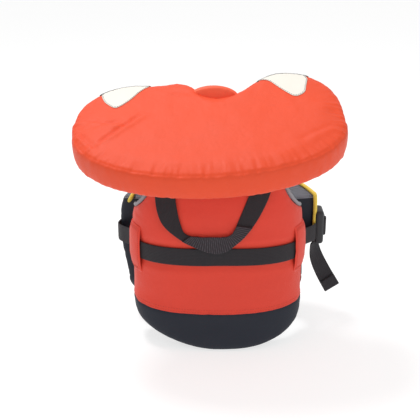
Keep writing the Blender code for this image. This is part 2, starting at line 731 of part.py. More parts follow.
def build_male(male, prongs):
    half_z = BUCKLE_SIZE[0] / 2
    x0, x1 = MALE_X
    part = add_box("buckle_male", (x0, BUCKLE_Y - 0.0045, BELT_Z - half_z),
                   (x1 - GAP, BUCKLE_Y + 0.0045, BELT_Z + half_z), "black_plastic", male)
    bevel(part, 0.0018, segments=2)
    cut_box(part, "guide_rod", (x1 - 0.004, BUCKLE_Y - 0.0020, BELT_Z - 0.0020),
            (x1 + PRONG_LENGTH - 0.004, BUCKLE_Y + 0.0020, BELT_Z + 0.0020), "UNION")
    cut_box(part, "male_belt_slot", (x0 + 0.0025, BUCKLE_Y - 0.02, BELT_Z - 0.0131),
            (x0 + 0.0055, BUCKLE_Y + 0.02, BELT_Z + 0.0131))
    for side, name in ((-1, "lower"), (1, "upper")):
        middle = BELT_Z + side * PRONG_Z
        add_box(f"buckle_prong_{name}", (x1, BUCKLE_Y - 0.0025, middle - 0.0018),
                (x1 + PRONG_LENGTH, BUCKLE_Y + 0.0025, middle + 0.0018), "black_plastic",
                prongs[name], edge=0.0006)


def build_adjuster(right, tail):
    """A ladder-lock on the side of the belt, and the loose end that hangs from it."""
    centre = Vector(ADJUSTER_CENTRE)
    half = Vector(ADJUSTER_SIZE) / 2
    part = add_box("belt_adjuster", centre - half, centre + half, "black_plastic", right)
    bevel(part, 0.0045, segments=3)
    for i, offset in enumerate((-0.0085, 0.0, 0.0085)):
        cut_box(part, f"adjuster_slot_{i}", centre + Vector((-0.02, offset - 0.0016, -0.0132)),
                centre + Vector((0.02, offset + 0.0016, 0.0132)))
    along = Vector((sin(TAIL_SPLAY), 0.0, -cos(TAIL_SPLAY)))
    sideways = Vector((cos(TAIL_SPLAY), 0.0, sin(TAIL_SPLAY)))
    width = sideways * cos(TAIL_TWIST) + Vector((0.0, sin(TAIL_TWIST), 0.0))
    plane = flat_plane(TAIL_TOP, width, -along)
    strip = rectangle(-WEBBING_WIDTH / 2, WEBBING_WIDTH / 2, -TAIL_LENGTH, -0.0004)
    add_sheet("belt_tail", strip, plane, 0.0, WEBBING, "black_webbing", tail, bends=False)


# ---------------------------------------------------------------- assembly

def evaluated_bounds():
    """Lowest and highest corner of every part, with its modifiers."""
    bpy.context.view_layer.update()
    graph = bpy.context.evaluated_depsgraph_get()
    corners = []
    for part in PARTS.objects:
        if part.type == "EMPTY":
            continue
        body = part.evaluated_get(graph)
        shape = body.to_mesh()
        corners += [body.matrix_world @ vert.co for vert in shape.vertices]
        body.to_mesh_clear()
    points = np.array(corners)
    return points.min(axis=0), points.max(axis=0)


def build_jacket():
    root = make_pivot("jacket_origin", (0, 0, 0))
    collar = make_pivot("collar_fold", COLLAR_FOLD, root)
    handle = make_pivot("grab_handle_swing", HANDLE_TOP, root)
    fronts = {side: make_pivot(f"front_{name}_open", (side * FRONT_HINGE[0], FRONT_HINGE[1], BELT_Z), root)
              for side, name in ((-1, "left"), (1, "right"))}
    zip_y = BODY_HALF_DEPTH + ZIP_DEPTH
    slider = make_pivot("zip_slide", (0, zip_y, SLIDER_Z), fronts[-1])
    pull = make_pivot("zip_pull_swing", (0, zip_y + SLIDER_SIZE[1] / 2 + 0.0021, SLIDER_Z), slider)
    male = make_pivot("buckle_insert", (MALE_X[1], BUCKLE_Y, BELT_Z), fronts[-1])
    prongs = {name: make_pivot(f"prong_{name}_flex", (MALE_X[1], BUCKLE_Y, BELT_Z + side * PRONG_Z), male)
              for side, name in ((-1, "lower"), (1, "upper"))}
    tail = make_pivot("belt_tail_swing", TAIL_TOP, fronts[1])

    build_back(root)
    build_neck_yoke(root)
    build_waist_belt(root)
    build_handle(root, handle)
    build_collar(root, collar)
    for side, name in ((-1, "left"), (1, "right")):
        build_side_panel(side, name, root)
        build_shoulder_strap(side, name, root)
        build_belt_loop(side, name, root)
        build_front(side, name, fronts[side])
        build_zip_side(side, name, fronts[side])
    build_zip_ends(fronts[-1], fronts[1])
    build_slider(slider, pull)
    build_front_belt(-1, "left", 0.0575, fronts[-1])
    build_front_belt(1, "right", 0.0455, fronts[1])
    build_female(fronts[1])
    build_male(male, prongs)
    build_adjuster(fronts[1], tail)

    low, high = evaluated_bounds()
    root.location = (-(low[0] + high[0]) / 2, -(low[1] + high[1]) / 2, -low[2])
    bpy.context.view_layer.update()


build_jacket()
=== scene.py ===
"""The looks of the child's life jacket: sewn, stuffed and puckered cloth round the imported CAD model.

Metres, in the CAD frame: the back panel faces -Y, +X is the wearer's right, the floor is at z = 0.
Soft pieces are cut flat and then bent, as in the CAD. A flat point (u, v, d) is, on the body, the arc
length from mid back, the height, and the distance out from the wearer. On the collar it is the distance
across, the distance forward from the fold, and the height over the collar's top.
"""
import json
from contextlib import contextmanager
from math import cos, pi, radians, sin

import bmesh
import bpy
import numpy as np
from mathutils import Matrix, Vector, noise
from mathutils.bvhtree import BVHTree


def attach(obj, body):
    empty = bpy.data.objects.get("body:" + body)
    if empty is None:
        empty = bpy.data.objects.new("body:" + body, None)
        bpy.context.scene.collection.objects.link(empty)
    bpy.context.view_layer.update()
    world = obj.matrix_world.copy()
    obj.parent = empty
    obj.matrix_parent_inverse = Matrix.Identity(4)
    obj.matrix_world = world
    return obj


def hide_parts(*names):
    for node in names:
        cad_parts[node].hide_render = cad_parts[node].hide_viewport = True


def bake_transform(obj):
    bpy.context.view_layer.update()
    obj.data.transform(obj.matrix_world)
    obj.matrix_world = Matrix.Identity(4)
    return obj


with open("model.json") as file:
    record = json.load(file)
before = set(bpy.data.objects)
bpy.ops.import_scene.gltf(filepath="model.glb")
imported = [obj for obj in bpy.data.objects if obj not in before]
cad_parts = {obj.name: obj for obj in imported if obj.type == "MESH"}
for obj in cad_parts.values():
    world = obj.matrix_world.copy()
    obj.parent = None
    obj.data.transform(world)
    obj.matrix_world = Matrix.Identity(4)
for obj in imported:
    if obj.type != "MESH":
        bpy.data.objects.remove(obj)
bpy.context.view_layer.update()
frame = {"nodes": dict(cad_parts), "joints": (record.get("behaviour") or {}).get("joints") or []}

JOINTS = {joint["name"]: joint for joint in frame["joints"]}
SIDES = ((-1, "left"), (1, "right"))

# Camera
TARGET = Vector((-0.0139, -0.030, 0.207))
DISTANCE = 1.16
ELEVATION = radians(20.0)
LENS = 75.0

# Body: the wearer's section is a superellipse
BODY_HALF_WIDTH = 0.098
BODY_HALF_DEPTH = 0.056
BODY_POWER = 3.2
LEAN_START_Z = 0.200
LEAN_END_Z = 0.310
LEAN_SHARE = 0.30

# Back panel
BACK_THICK = 0.020
BACK_HALF_ARC = 0.124
BACK_TOP_Z = 0.294
HEM_RISE = 0.054
HEM_POWER_RIGHT = 2.9
HEM_POWER_LEFT = 1.85
HEM_FLARE = 0.0100
SIDE_BULGE = 0.0040
SEAM_Z = 0.053
SEAM_RISE = 0.011
ARMHOLE_Z = 0.192
STRAP_ARC = 0.074

# Front panels
FRONT_THICK = 0.036
FRONT_REAR_ARC = 0.152
FRONT_EDGE_ARC = 0.251
FRONT_SEAM_Z = 0.066
FRONT_HEM_RISE = 0.057
FRONT_FLAT_ARC = 0.196
FRONT_NECK_Z = 0.205
FRONT_TOP_Z = 0.272
FRONT_STRAP_ARCS = (0.200, 0.226)
TAPER_START_Z = 0.170
TAPER_SHARE = 0.45
FRONT_SWELL = 0.0110
FRONT_TUCK = 0.0050
FRONT_BAND_TOP_Z = 0.188
EDGE_ROUND = 0.0035
BINDING_RADIUS = 0.0025
PIPING_RADIUS = 0.0029
SIDE_MESH_Z = (0.074, 0.182)
SIDE_MESH_THICK = 0.0022
STRAP_THICK = 0.0072
STRAP_WIDTH = 0.0255
SHOULDER_X = 0.049
SHOULDER_ROUTE = ((-0.0475, 0.3000), (-0.0350, 0.3060), (-0.0150, 0.3115), (0.0080, 0.3105),
                  (0.0300, 0.3010), (0.0440, 0.2890), (0.0525, 0.2770), (0.0560, 0.2680))

# Belt, loops and handle
WEBBING_WIDTH = 0.025
BELT_THICK = 0.0019
BELT_Z = 0.1395
LOOP_ARC = 0.1040
LOOP_WIDTH = 0.0230
LOOP_THICK = 0.0022
LOOP_HEIGHTS = (0.107, 0.174)
HANDLE_TOP = (0.0, -0.0748, 0.252)
HANDLE_TILT = radians(4.3)
HANDLE_HALF_TOP = 0.0625
HANDLE_OUTER = ((-0.0800, 0.0), (-0.0830, -0.0310), (-0.0755, -0.0620), (-0.0550, -0.0830),
                (-0.0310, -0.0965), (-0.0080, -0.1045), (0.0080, -0.1035), (0.0240, -0.0930),
                (0.0390, -0.0780), (0.0535, -0.0570), (0.0670, -0.0280), (0.0745, 0.0))
HANDLE_INNER = ((-0.0550, 0.0), (-0.0560, -0.0310), (-0.0490, -0.0670), (-0.0410, -0.0790),
                (-0.0240, -0.0815), (-0.0100, -0.0815), (0.0040, -0.0815), (0.0145, -0.0800),
                (0.0215, -0.0730), (0.0290, -0.0550), (0.0400, -0.0270), (0.0495, 0.0))

# Collar: its near side is two quarters of superellipses, and its far side runs over both horns
COLLAR_MIDDLE = (-0.0080, -0.0660)
COLLAR_HALF_WIDTH = 0.1720
COLLAR_NEAR = 0.0995
COLLAR_POWER_LEFT = 2.0
COLLAR_POWER_RIGHT = 2.15
FAR_SIDE = ((0.1640, -0.062), (0.1635, -0.016), (0.1520, 0.020), (0.1280, 0.044), (0.0950, 0.0520),
            (0.0700, 0.041), (0.0430, 0.017), (0.0210, 0.004), (-0.0030, 0.004), (-0.0180, 0.017),
            (-0.0300, 0.035), (-0.0450, 0.0425), (-0.0650, 0.0395), (-0.0850, 0.039), (-0.1080, 0.040),
            (-0.1320, 0.034), (-0.1550, 0.018), (-0.1725, -0.008), (-0.1810, -0.043))
COLLAR_THICK = 0.037
COLLAR_FOLD = (-0.007, -0.042, 0.351)
COLLAR_TILT = radians(20.5)
COLLAR_YAW = radians(3.0)
COLLAR_ROLL = radians(2.6)
FOLD_SPAN = 0.014
FOLD_DEPTH = -0.018

# The lower edges of the reflective patches, from the far side of the horn round to it again
PATCHES = {
    "left": ((-0.1450, 0.0150), (-0.1400, -0.0040), (-0.1290, -0.0185), (-0.1205, -0.0170),
             (-0.1080, -0.0040), (-0.0950, 0.0160), (-0.0830, 0.0315)),
    "right": ((0.0640, 0.0305), (0.0755, 0.0255), (0.0890, 0.0060), (0.1050, -0.0130),
              (0.1190, -0.0065), (0.1240, 0.0100), (0.1285, 0.0280)),
}
FILM_THICK = 0.0006
YOKE_X = -0.0032

# Loose end of the belt
TAIL_TOP = (0.1460, 0.036, 0.1140)
TAIL_STEPS = ((-0.0035, 0.0, 0.0040), (0.0005, 0.0010, -0.0180), (0.0115, 0.0030, -0.0435),
              (0.0280, 0.0060, -0.0740))
ADJUSTER = (0.1485, 0.036, 0.1440)

# Stuffing: the cloth simulation's settings, how far each pad may swell, and the margin inside the
# seams over which the swelling is held back
CLOTH_SETTINGS = {"quality": 5, "mass": 0.3, "tension_stiffness": 12, "compression_stiffness": 12,
                  "bending_stiffness": 0.6, "use_pressure": True, "uniform_pressure_force": 4.0}
SWELL_FRAMES = 20
COLLAR_CAP = 0.0045
PANEL_CAP = 0.0025
YOKE_CAP = 0.003
HELD_MARGIN = 0.014

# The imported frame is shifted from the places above; the handle's hinge tells by how much
SHIFT = np.array(JOINTS["grab_handle_swing"]["pos_m"]) - np.array(HANDLE_TOP)


# -------------------------------- flat space to jacket

def ramp(value, start, end):
    """0 up to start, 1 from end on, and a straight slope between them."""
    return np.clip((value - start) / (end - start), 0.0, 1.0)


def running_total(steps):
    """Zero, and then the sum of the steps so far."""
    return np.concatenate(([0.0], np.cumsum(steps)))


def body_section():
    """Arc length, x and y along half of the wearer's section, from mid back to mid front."""
    angle = np.linspace(0.0, pi, 4001)
    across = np.abs(np.sin(angle)) ** (2 / BODY_POWER)
    along = np.abs(np.cos(angle)) ** (2 / BODY_POWER) * np.sign(np.cos(angle))
    x = BODY_HALF_WIDTH * across
    y = -BODY_HALF_DEPTH * along
    return running_total(np.hypot(np.diff(x), np.diff(y))), x, y


ARC, ARC_X, ARC_Y = body_section()
HALF_GIRTH = ARC[-1]


def bend_body(flat):
    """Bend flat points, one a row, round the wearer."""
    u, v, d = np.asarray(flat, float).T
    arc = np.abs(u)
    x = np.interp(arc, ARC, ARC_X)
    y = np.interp(arc, ARC, ARC_Y)
    behind = np.clip(arc - 0.002, 0.0, HALF_GIRTH)
    ahead = np.clip(arc + 0.002, 0.0, HALF_GIRTH)
    run_x = np.interp(ahead, ARC, ARC_X) - np.interp(behind, ARC, ARC_X)
    run_y = np.interp(ahead, ARC, ARC_Y) - np.interp(behind, ARC, ARC_Y)
    run_x = np.where(arc < 0.002, 0.004, run_x)
    run_y = np.where(arc < 0.002, 0.0, run_y)
    length = np.hypot(run_x, run_y)
    x = x + run_y / length * d
    y = y - run_x / length * d
    lean = ramp(v, LEAN_START_Z, LEAN_END_Z) ** 1.5
    return np.stack([np.copysign(x, u), y * (1 - LEAN_SHARE * lean), v], axis=1) + SHIFT


def bend_front(flat):
    """As bend_body, for the front panels, which swell at the sides and thin out towards the shoulders."""
    flat = np.array(flat, float)
    arc, height = np.abs(flat[:, 0]), flat[:, 1]
    left = 0.93 * FRONT_SWELL * np.exp(-((height - 0.148) / 0.062) ** 4)
    right = FRONT_SWELL * np.exp(-((height - 0.172) / 0.050) ** 6)
    right += FRONT_TUCK * (ramp(height, 0.165, 0.185) - ramp(height, 0.125, 0.095))
    swell = np.where(flat[:, 0] < 0, left, right) * np.exp(-((arc - 0.150) / 0.045) ** 2)
    rise = ramp(height, TAPER_START_Z, FRONT_TOP_Z)
    flat[:, 2] *= (1 + swell / FRONT_THICK) * (1 - TAPER_SHARE * rise)
    return bend_body(flat)


def bend_back(flat):
    """As bend_body, for the back panel, whose hem kicks out."""
    flat = np.array(flat, float)
    above = flat[:, 1] - hem_height(flat[:, 0])
    share = ramp(above, SEAM_Z, 0.0) ** 1.3 * (1 - np.abs(flat[:, 0] / BACK_HALF_ARC) ** 2.5)
    flat[:, 2] += HEM_FLARE * share * flat[:, 2] / BACK_THICK
    return bend_body(flat)


def plane_map(origin, across, upward):
    """A map onto the plane through origin; d is measured along across x upward."""
    across = np.array(Vector(across).normalized())
    upward = np.array(Vector(upward).normalized())
    axes = np.stack([across, upward, np.cross(across, upward)])
    return lambda flat: np.asarray(flat, float) @ axes + np.array(origin) + SHIFT


def collar_plane():
    turn = Matrix.Rotation(COLLAR_YAW, 3, "Z") @ Matrix.Rotation(-COLLAR_ROLL, 3, "Y")
    turn @= Matrix.Rotation(COLLAR_TILT, 3, "X")
    return plane_map(COLLAR_FOLD, turn.col[0], turn.col[1])


on_collar = collar_plane()
on_handle = plane_map(HANDLE_TOP, (1, 0, 0), (0, sin(HANDLE_TILT), cos(HANDLE_TILT)))


def place(bend, u, v, d):
    return Vector(bend([(u, v, d)])[0])


# -------------------------------- flat outlines

def sample(function, start, end, count):
    return [function(start + (end - start) * i / count) for i in range(count + 1)]


def mirrored(outline):
    return [(-u, v) for u, v in reversed(outline)]


def hem_height(s):
    power = np.where(np.asarray(s) < 0, HEM_POWER_LEFT, HEM_POWER_RIGHT)
    return HEM_RISE * (np.abs(s) / BACK_HALF_ARC) ** power


def seam_height(s):
    return SEAM_Z + SEAM_RISE * (s / BACK_HALF_ARC) ** 2


def armhole(t):
    angle = t * pi / 2
    s = STRAP_ARC + (BACK_HALF_ARC - STRAP_ARC) * (1 - sin(angle)) ** 1.15
    z = ARMHOLE_Z + (BACK_TOP_Z - ARMHOLE_Z) * (1 - cos(angle)) ** 0.95
    return s, z


def back_side(t):
    return BACK_HALF_ARC + SIDE_BULGE * sin(pi * t), HEM_RISE + (ARMHOLE_Z - HEM_RISE) * t


def back_outline():
    bottom = sample(lambda s: (s, hem_height(s)), -BACK_HALF_ARC, BACK_HALF_ARC, 60)
    right = sample(back_side, 0.05, 0.95, 20) + sample(armhole, 0.0, 1.0, 24)
    return bottom + right + mirrored(right)


def front_side_curve(t):
    angle = t * pi / 2
    s = FRONT_STRAP_ARCS[0] - (FRONT_STRAP_ARCS[0] - FRONT_REAR_ARC) * (1 - cos(angle))
    return s, FRONT_TOP_Z - (FRONT_TOP_Z - ARMHOLE_Z) * sin(angle)


def front_neck_curve(t):
    angle = t * pi / 2
    s = FRONT_EDGE_ARC - (FRONT_EDGE_ARC - FRONT_STRAP_ARCS[1]) * sin(angle)
    return s, FRONT_NECK_Z + (FRONT_TOP_Z - FRONT_NECK_Z) * (1 - cos(angle))


def front_hem(s):
    share = max(0.0, FRONT_FLAT_ARC - s) / (FRONT_FLAT_ARC - FRONT_REAR_ARC)
    return s, FRONT_HEM_RISE * share ** 1.6


def front_outline():
    hem = sample(front_hem, FRONT_REAR_ARC, FRONT_FLAT_ARC, 16) + [(FRONT_EDGE_ARC, 0.0)]
    return hem + sample(front_neck_curve, 0.0, 1.0, 16) + sample(front_side_curve, 0.0, 1.0, 20)


def near_side(angle):
    """The collar's side towards the camera; the angle runs from pi to 2 pi, left to right."""
    power = COLLAR_POWER_RIGHT if cos(angle) > 0 else COLLAR_POWER_LEFT
    p = COLLAR_HALF_WIDTH * np.copysign(abs(cos(angle)) ** (2 / power), cos(angle))
    return COLLAR_MIDDLE[0] + p, COLLAR_MIDDLE[1] - COLLAR_NEAR * abs(sin(angle)) ** (2 / power)


def far_side():
    return [tuple(point) for point in smooth_line(FAR_SIDE, 200)]


def collar_outline():
    return sample(near_side, pi, 2 * pi, 110)[:-1] + far_side()


def patch_outline(name):
    """A patch's lower edge, closed along the far side of the collar just inside its seam."""
    lower = [tuple(point) for point in smooth_line(PATCHES[name], 40)]
    low, high = sorted((lower[0][0], lower[-1][0]))
    rim = [(p, r - 0.0036) for p, r in far_side() if low < p < high]
    return lower + rim


def resample(outline, count):
    """The closed outline as an array of evenly spaced points."""
    points = np.array(outline + outline[:1], float)
    along = running_total(np.hypot(*np.diff(points, axis=0).T))
    even = np.linspace(0.0, along[-1], count, endpoint=False)
    return np.stack([np.interp(even, along, points[:, k]) for k in (0, 1)], axis=1)


def shift_right(line, distance):
    """The flat line, moved to its right by distance."""
    run = np.gradient(line, axis=0)
    run /= np.linalg.norm(run, axis=1)[:, None]
    return line + np.column_stack([run[:, 1], -run[:, 0]]) * distance


# -------------------------------- meshes

def new_object(name, data):
    """A new object in the scene; the data is a mesh, a camera or a light."""
    piece = bpy.data.objects.new(name, data)
    bpy.context.scene.collection.objects.link(piece)
    return piece


def new_mesh(name, points, faces):
    mesh_data = bpy.data.meshes.new(name)
    mesh_data.from_pydata([tuple(point) for point in points], [], faces)
    mesh_data.update()
    return new_object(name, mesh_data)


@contextmanager
def editing(mesh_data):
    """The mesh as a bmesh, which is written back at the end."""
    bm = bmesh.new()
    bm.from_mesh(mesh_data)
    yield bm
    bm.to_mesh(mesh_data)
    bm.free()


def apply_modifier(piece, kind, **settings):
    """Change the piece's mesh as the modifier would, and leave no modifier on it."""
    modifier = piece.modifiers.new("shape", kind)
    for key, value in settings.items():
        setattr(modifier, key, value)
    graph = bpy.context.evaluated_depsgraph_get()
    piece.data = bpy.data.meshes.new_from_object(piece.evaluated_get(graph))
    piece.modifiers.clear()


def get_points(mesh_data):
    flat = np.empty(len(mesh_data.vertices) * 3)
    mesh_data.vertices.foreach_get("co", flat)
    return flat.reshape(-1, 3)


def set_points(mesh_data, points):
    mesh_data.vertices.foreach_set("co", np.asarray(points, float).ravel())
    mesh_data.update()


def store_cloth(mesh_data, cloth):
    """Keep each vertex's place on its flat cloth, in metres, for the weave in its material."""
    attribute = mesh_data.attributes.new("cloth", "FLOAT_VECTOR", "POINT")
    attribute.data.foreach_set("vector", np.asarray(cloth, float).ravel())


def read_side(mesh_data):
    """Each vertex's side: 1 on the outer face, 0 on the edge band, -1 on the inner face."""
    values = np.empty(len(mesh_data.vertices))
    mesh_data.attributes["side"].data.foreach_get("value", values)
    return values


def noise_at(points, scale, seed=0.0):
    """Smooth noise, about -1 to 1, at each row of points; scale is one number or one for each axis."""
    scaled = np.asarray(points, float) * scale
    return np.array([noise.noise(Vector((a + seed, b, c))) for a, b, c in scaled])


def noise_along(values, scale, seed):
    return noise_at(np.column_stack([values, values * 0, values * 0]), scale, seed)


def finish_piece(piece, look, body, slot, *nodes):
    """Give the piece its material, its body, its finish and the CAD nodes that it stands for."""
    piece.data.materials.clear()
    piece.data.materials.append(MATERIALS[look])
    piece.data.polygons.foreach_set("use_smooth", [True] * len(piece.data.polygons))
    if body:
        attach(piece, body)
    if nodes:
        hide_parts(*nodes)
    return piece


# -------------------------------- stuffed panels

def cushion_rows(thick, edge, face_rings, band_rows):
    """Rows from the middle of the outer face over the edge to the middle of the inner face.

    Each row is (share of the way out, distance in from the outline, depth share, side), where the side is
    1 on the outer face, 0 on the edge band and -1 on the inner face.
    """
    outer = [(ring / face_rings, 0.0, 1.0, 1.0) for ring in range(1, face_rings)]
    outer += [(1.0, edge * 2.4, 1.0, 1.0), (1.0, edge, 1.0 - 0.10 * edge / thick, 1.0)]
    corner = 1.0 - 0.9 * edge / thick
    band = [(1.0, 0.0, corner * (1 - k / band_rows) + (1 - corner) * k / band_rows, 0.0)
            for k in range(band_rows + 1)]
    inner = [(share, inset, 1.0 - depth, -side) for share, inset, depth, side in reversed(outer)]
    return outer + band + inner


def cushion(name, outline, centre, depths, count, face_rings=12, band_rows=3, edge=0.003):
    """A closed panel in flat space: a stuffed pad with an outer face, an edge band and an inner face."""
    ring = resample(outline, count)
    centre = np.array(centre, float)
    inner, outer = depths
    thick = outer - inner
    reach = np.hypot(*(ring - centre).T)
    points = [(*centre, outer)]
    sides = [1.0]
    for share, inset, depth, side in cushion_rows(thick, edge, face_rings, band_rows):
        inner_share = 1.0 - edge * 4 / reach if share < 1 else 1.0
        scale = share * inner_share if share < 1 else 1.0 - inset / reach
        row = centre + (ring - centre) * np.broadcast_to(scale, reach.shape)[:, None]
        points += [(u, v, inner + thick * depth) for u, v in row]
        sides += [side] * count
    points.append((*centre, inner))
    sides.append(-1.0)
    faces = []
    rows = (len(points) - 2) // count
    for i in range(count):
        k = (i + 1) % count
        faces.append((0, 1 + i, 1 + k))
        for row in range(rows - 1):
            a = 1 + row * count
            b = a + count
            faces.append((a + i, b + i, b + k, a + k))
        last = 1 + (rows - 1) * count
        faces.append((last + i, len(points) - 1, last + k))
    piece = new_mesh(name, points, faces)
    attribute = piece.data.attributes.new("side", "FLOAT", "POINT")
    attribute.data.foreach_set("value", sides)
    return piece


def inflate(piece, outline, cap):
    """Swell the pad with Blender's cloth, hold each point within cap, and leave no Cloth on it.

    Its seams hold the outline, so the movement fades out towards it.
    """
    rest = get_points(piece.data)
    cloth = piece.modifiers.new("swell", "CLOTH")
    for key, value in CLOTH_SETTINGS.items():
        setattr(cloth.settings, key, value)
    cloth.settings.effector_weights.gravity = 0.0
    cloth.point_cache.frame_start = 1
    cloth.point_cache.frame_end = SWELL_FRAMES
    for number in range(1, SWELL_FRAMES + 1):
        bpy.context.scene.frame_set(number)
    graph = bpy.context.evaluated_depsgraph_get()
    swollen = get_points(piece.evaluated_get(graph).to_mesh())
    piece.modifiers.clear()
    bpy.context.scene.frame_set(1)
    moved = swollen - rest
    moved -= moved.mean(axis=0)
    inward, _, _ = measure_edge(rest, outline)
    moved *= ramp(inward, 0.0, HELD_MARGIN)[:, None] * (0.3, 0.3, 1.0)
    length = np.linalg.norm(moved, axis=1)
    limit = np.minimum(1.0, cap / np.maximum(length, 1e-9))
    set_points(piece.data, rest + moved * limit[:, None])


def press_belt(points, thick):
    """Flatten the swollen outer face where the belt runs over it."""
    zone = np.exp(-((points[:, 1] - BELT_Z) / 0.019) ** 6)
    points[:, 2] -= np.maximum(points[:, 2] - thick, 0.0) * zone


def stuffed_shell(name, outline, centre, depths, count, cap, seam=None, **rows):
    """A swollen and smoothed pad in flat space, cut at its seam's height if it has one.

    It comes with its points, their sides and what measure_edge says of them.
    """
    shell = cushion(name, outline, centre, depths, count, **rows)
    inflate(shell, outline, cap)
    apply_modifier(shell, "SUBSURF", levels=2, render_levels=2)
    if seam:
        split_at(shell, seam)
    points = get_points(shell.data)
    return shell, points, read_side(shell.data), *measure_edge(points, outline)


def measure_edge(points, outline):
    """Each point's distance in from the outline, its place along it, and the outline's outward normal."""
    ring = resample(outline, 400)
    ahead = np.roll(ring, -1, axis=0)
    run = ahead - ring
    lengths = np.hypot(*run.T)
    along = running_total(lengths)[:-1]
    normals = np.stack([run[:, 1], -run[:, 0]], axis=1) / lengths[:, None]
    normals = normals + np.roll(normals, 1, axis=0) + np.roll(normals, -1, axis=0)
    normals /= np.linalg.norm(normals, axis=1)[:, None]
    distance = np.empty(len(points))
    nearest = np.empty(len(points), int)
    for start in range(0, len(points), 4000):
        part = points[start:start + 4000, None, :2] - ring[None]
        spans = np.hypot(part[..., 0], part[..., 1])
        nearest[start:start + 4000] = spans.argmin(axis=1)
        distance[start:start + 4000] = spans.min(axis=1)
    offset = ((points[:, :2] - ring[nearest]) * run[nearest]).sum(axis=1) / lengths[nearest]
    return distance, along[nearest] + offset, normals[nearest]


def pucker(along, inward, reach, pitch, seed):
    """Short folds at right angles to a seam, deepest at the seam and gone at reach."""
    rows = np.stack([along / pitch, inward * 30, np.zeros_like(along)], axis=1)
    fine = noise_at(rows, 1.0, seed)
    broad = noise_at(rows, (0.37, 0.6, 1.0), seed + 31)
    fold = 0.65 * fine + 0.55 * broad
    return fold * np.exp(-(np.maximum(inward, 0.0) / reach) ** 1.4)


def crease(points, start, end, width, depth):
    """A soft fold from start to end in flat space: a groove with a raised lip on its right."""
    start, end = np.array(start), np.array(end)
    run = end - start
    length = np.hypot(*run)
    local = points[:, :2] - start
    along = local @ run / length ** 2
    across = (local[:, 0] * run[1] - local[:, 1] * run[0]) / length
    fade = ramp(along, 0.0, 0.25) * ramp(along, 1.0, 0.75)
    groove = -np.exp(-(across / width) ** 2)
    lip = 0.7 * np.exp(-((across - 1.8 * width) / (1.4 * width)) ** 2)
    return depth * fade * (groove + lip)


def split_at(piece, height):
    """Cut the flat mesh along v = height(u), so that a seam can follow it exactly."""
    with editing(piece.data) as bm:
        for vert in bm.verts:
            vert.co.y -= height(vert.co.x)
        whole = bm.verts[:] + bm.edges[:] + bm.faces[:]
        bmesh.ops.bisect_plane(bm, geom=whole, dist=1e-5, plane_co=(0, 0, 0), plane_no=(0, 1, 0))
        for vert in bm.verts:
            vert.co.y += height(vert.co.x)


def keep_faces(piece, name, chosen):
    """A copy of the piece with only the chosen faces, an array of true and false."""
    copy = piece.data.copy()
    copy.name = name
    with editing(copy) as bm:
        gone = [face for face, keep in zip(bm.faces, chosen) if not keep]
        bmesh.ops.delete(bm, geom=gone, context="FACES")
    return new_object(name, copy)


def cut_panel(shell, parts, body):
    """Cut the shell into its cloths: name, chosen faces, look, slot and CAD nodes of each."""
    for name, chosen, look, slot, nodes in parts:
        piece = keep_faces(shell, name, chosen)
        finish_piece(piece, look, body, slot, *nodes)
    bpy.data.objects.remove(shell)


def raise_faces(points, side, lift, under):
    """Raise the outer face by lift, and let the inner face move away from it by under."""
    points[:, 2] += np.clip(side, 0.0, 1.0) * lift - np.clip(-side, 0.0, 1.0) * under


def face_means(mesh_data, values):
    """The mean of a vertex value over each face."""
    means = np.empty(len(mesh_data.polygons))
    for face in mesh_data.polygons:
        means[face.index] = np.mean([values[k] for k in face.vertices])
    return means


def surface_tree(piece):
    bm = bmesh.new()
    bm.from_mesh(piece.data)
    tree = BVHTree.FromBMesh(bm)
    bm.free()
    return tree


# -------------------------------- strips, tubes and stitches

def strip_section(half_width, thick, segments=5):
    """Half of a webbing section's points go over the top, half under; its edges are rounded."""
    turns = np.linspace(0, 2 * pi, 4 * segments, endpoint=False)
    across = np.sign(np.cos(turns)) * np.abs(np.cos(turns)) ** 0.28 * half_width
    up = np.sign(np.sin(turns)) * np.abs(np.sin(turns)) ** 0.5 * thick / 2
    return across, up


def tube_faces(rows, count, start=0):
    """Faces round successive rings of count points each, with both ends closed."""
    faces = []
    for row in range(rows - 1):
        for k in range(count):
            a = start + row * count + k
            b = start + row * count + (k + 1) % count
            faces.append((a, b, b + count, a + count))
    last = start + (rows - 1) * count
    faces.append(tuple(reversed(range(start, start + count))))
    faces.append(tuple(range(last, last + count)))
    return faces


def add_strip(name, centres, sideways, thick, width=WEBBING_WIDTH, bow=0.0):
    """Webbing or folded cloth along centres, whose width lies in the direction sideways.

    The direction and the width are each one value, or one for each centre.
    """
    centres = [Vector(centre) for centre in centres]
    widths = np.broadcast_to(width, len(centres))
    sideways = np.broadcast_to(np.array(sideways, float), (len(centres), 3))
    across, up = strip_section(0.5, thick)
    points, cloth = [], []
    travelled = 0.0
    for i, centre in enumerate(centres):
        ahead = centres[min(i + 1, len(centres) - 1)] - centres[max(i - 1, 0)]
        side = Vector(sideways[i]).normalized()
        normal = side.cross(ahead).normalized()
        if i:
            travelled += (centre - centres[i - 1]).length
        for a, h in zip(across, up):
            lift = h + bow * (1 - (2 * a) ** 2)
            points.append(centre + side * a * widths[i] + normal * lift)
            cloth.append((travelled, a * widths[i], h))
    piece = new_mesh(name, points, tube_faces(len(centres), len(across)))
    with editing(piece.data) as bm:
        bmesh.ops.recalc_face_normals(bm, faces=bm.faces[:])
    store_cloth(piece.data, cloth)
    return piece


def strip_on(name, bend, route, thick, width=WEBBING_WIDTH, bow=0.0):
    """A strip whose route is flat points (u, v, d) and whose width lies in the flat sheet."""
    flat = np.array(route, float)
    beside = np.zeros_like(flat)
    beside[:, :2] = shift_right(flat[:, :2], 0.002) - flat[:, :2]
    centres = bend(flat)
    sideways = bend(flat + beside) - bend(flat - beside)
    return add_strip(name, centres, sideways, thick, width, bow)


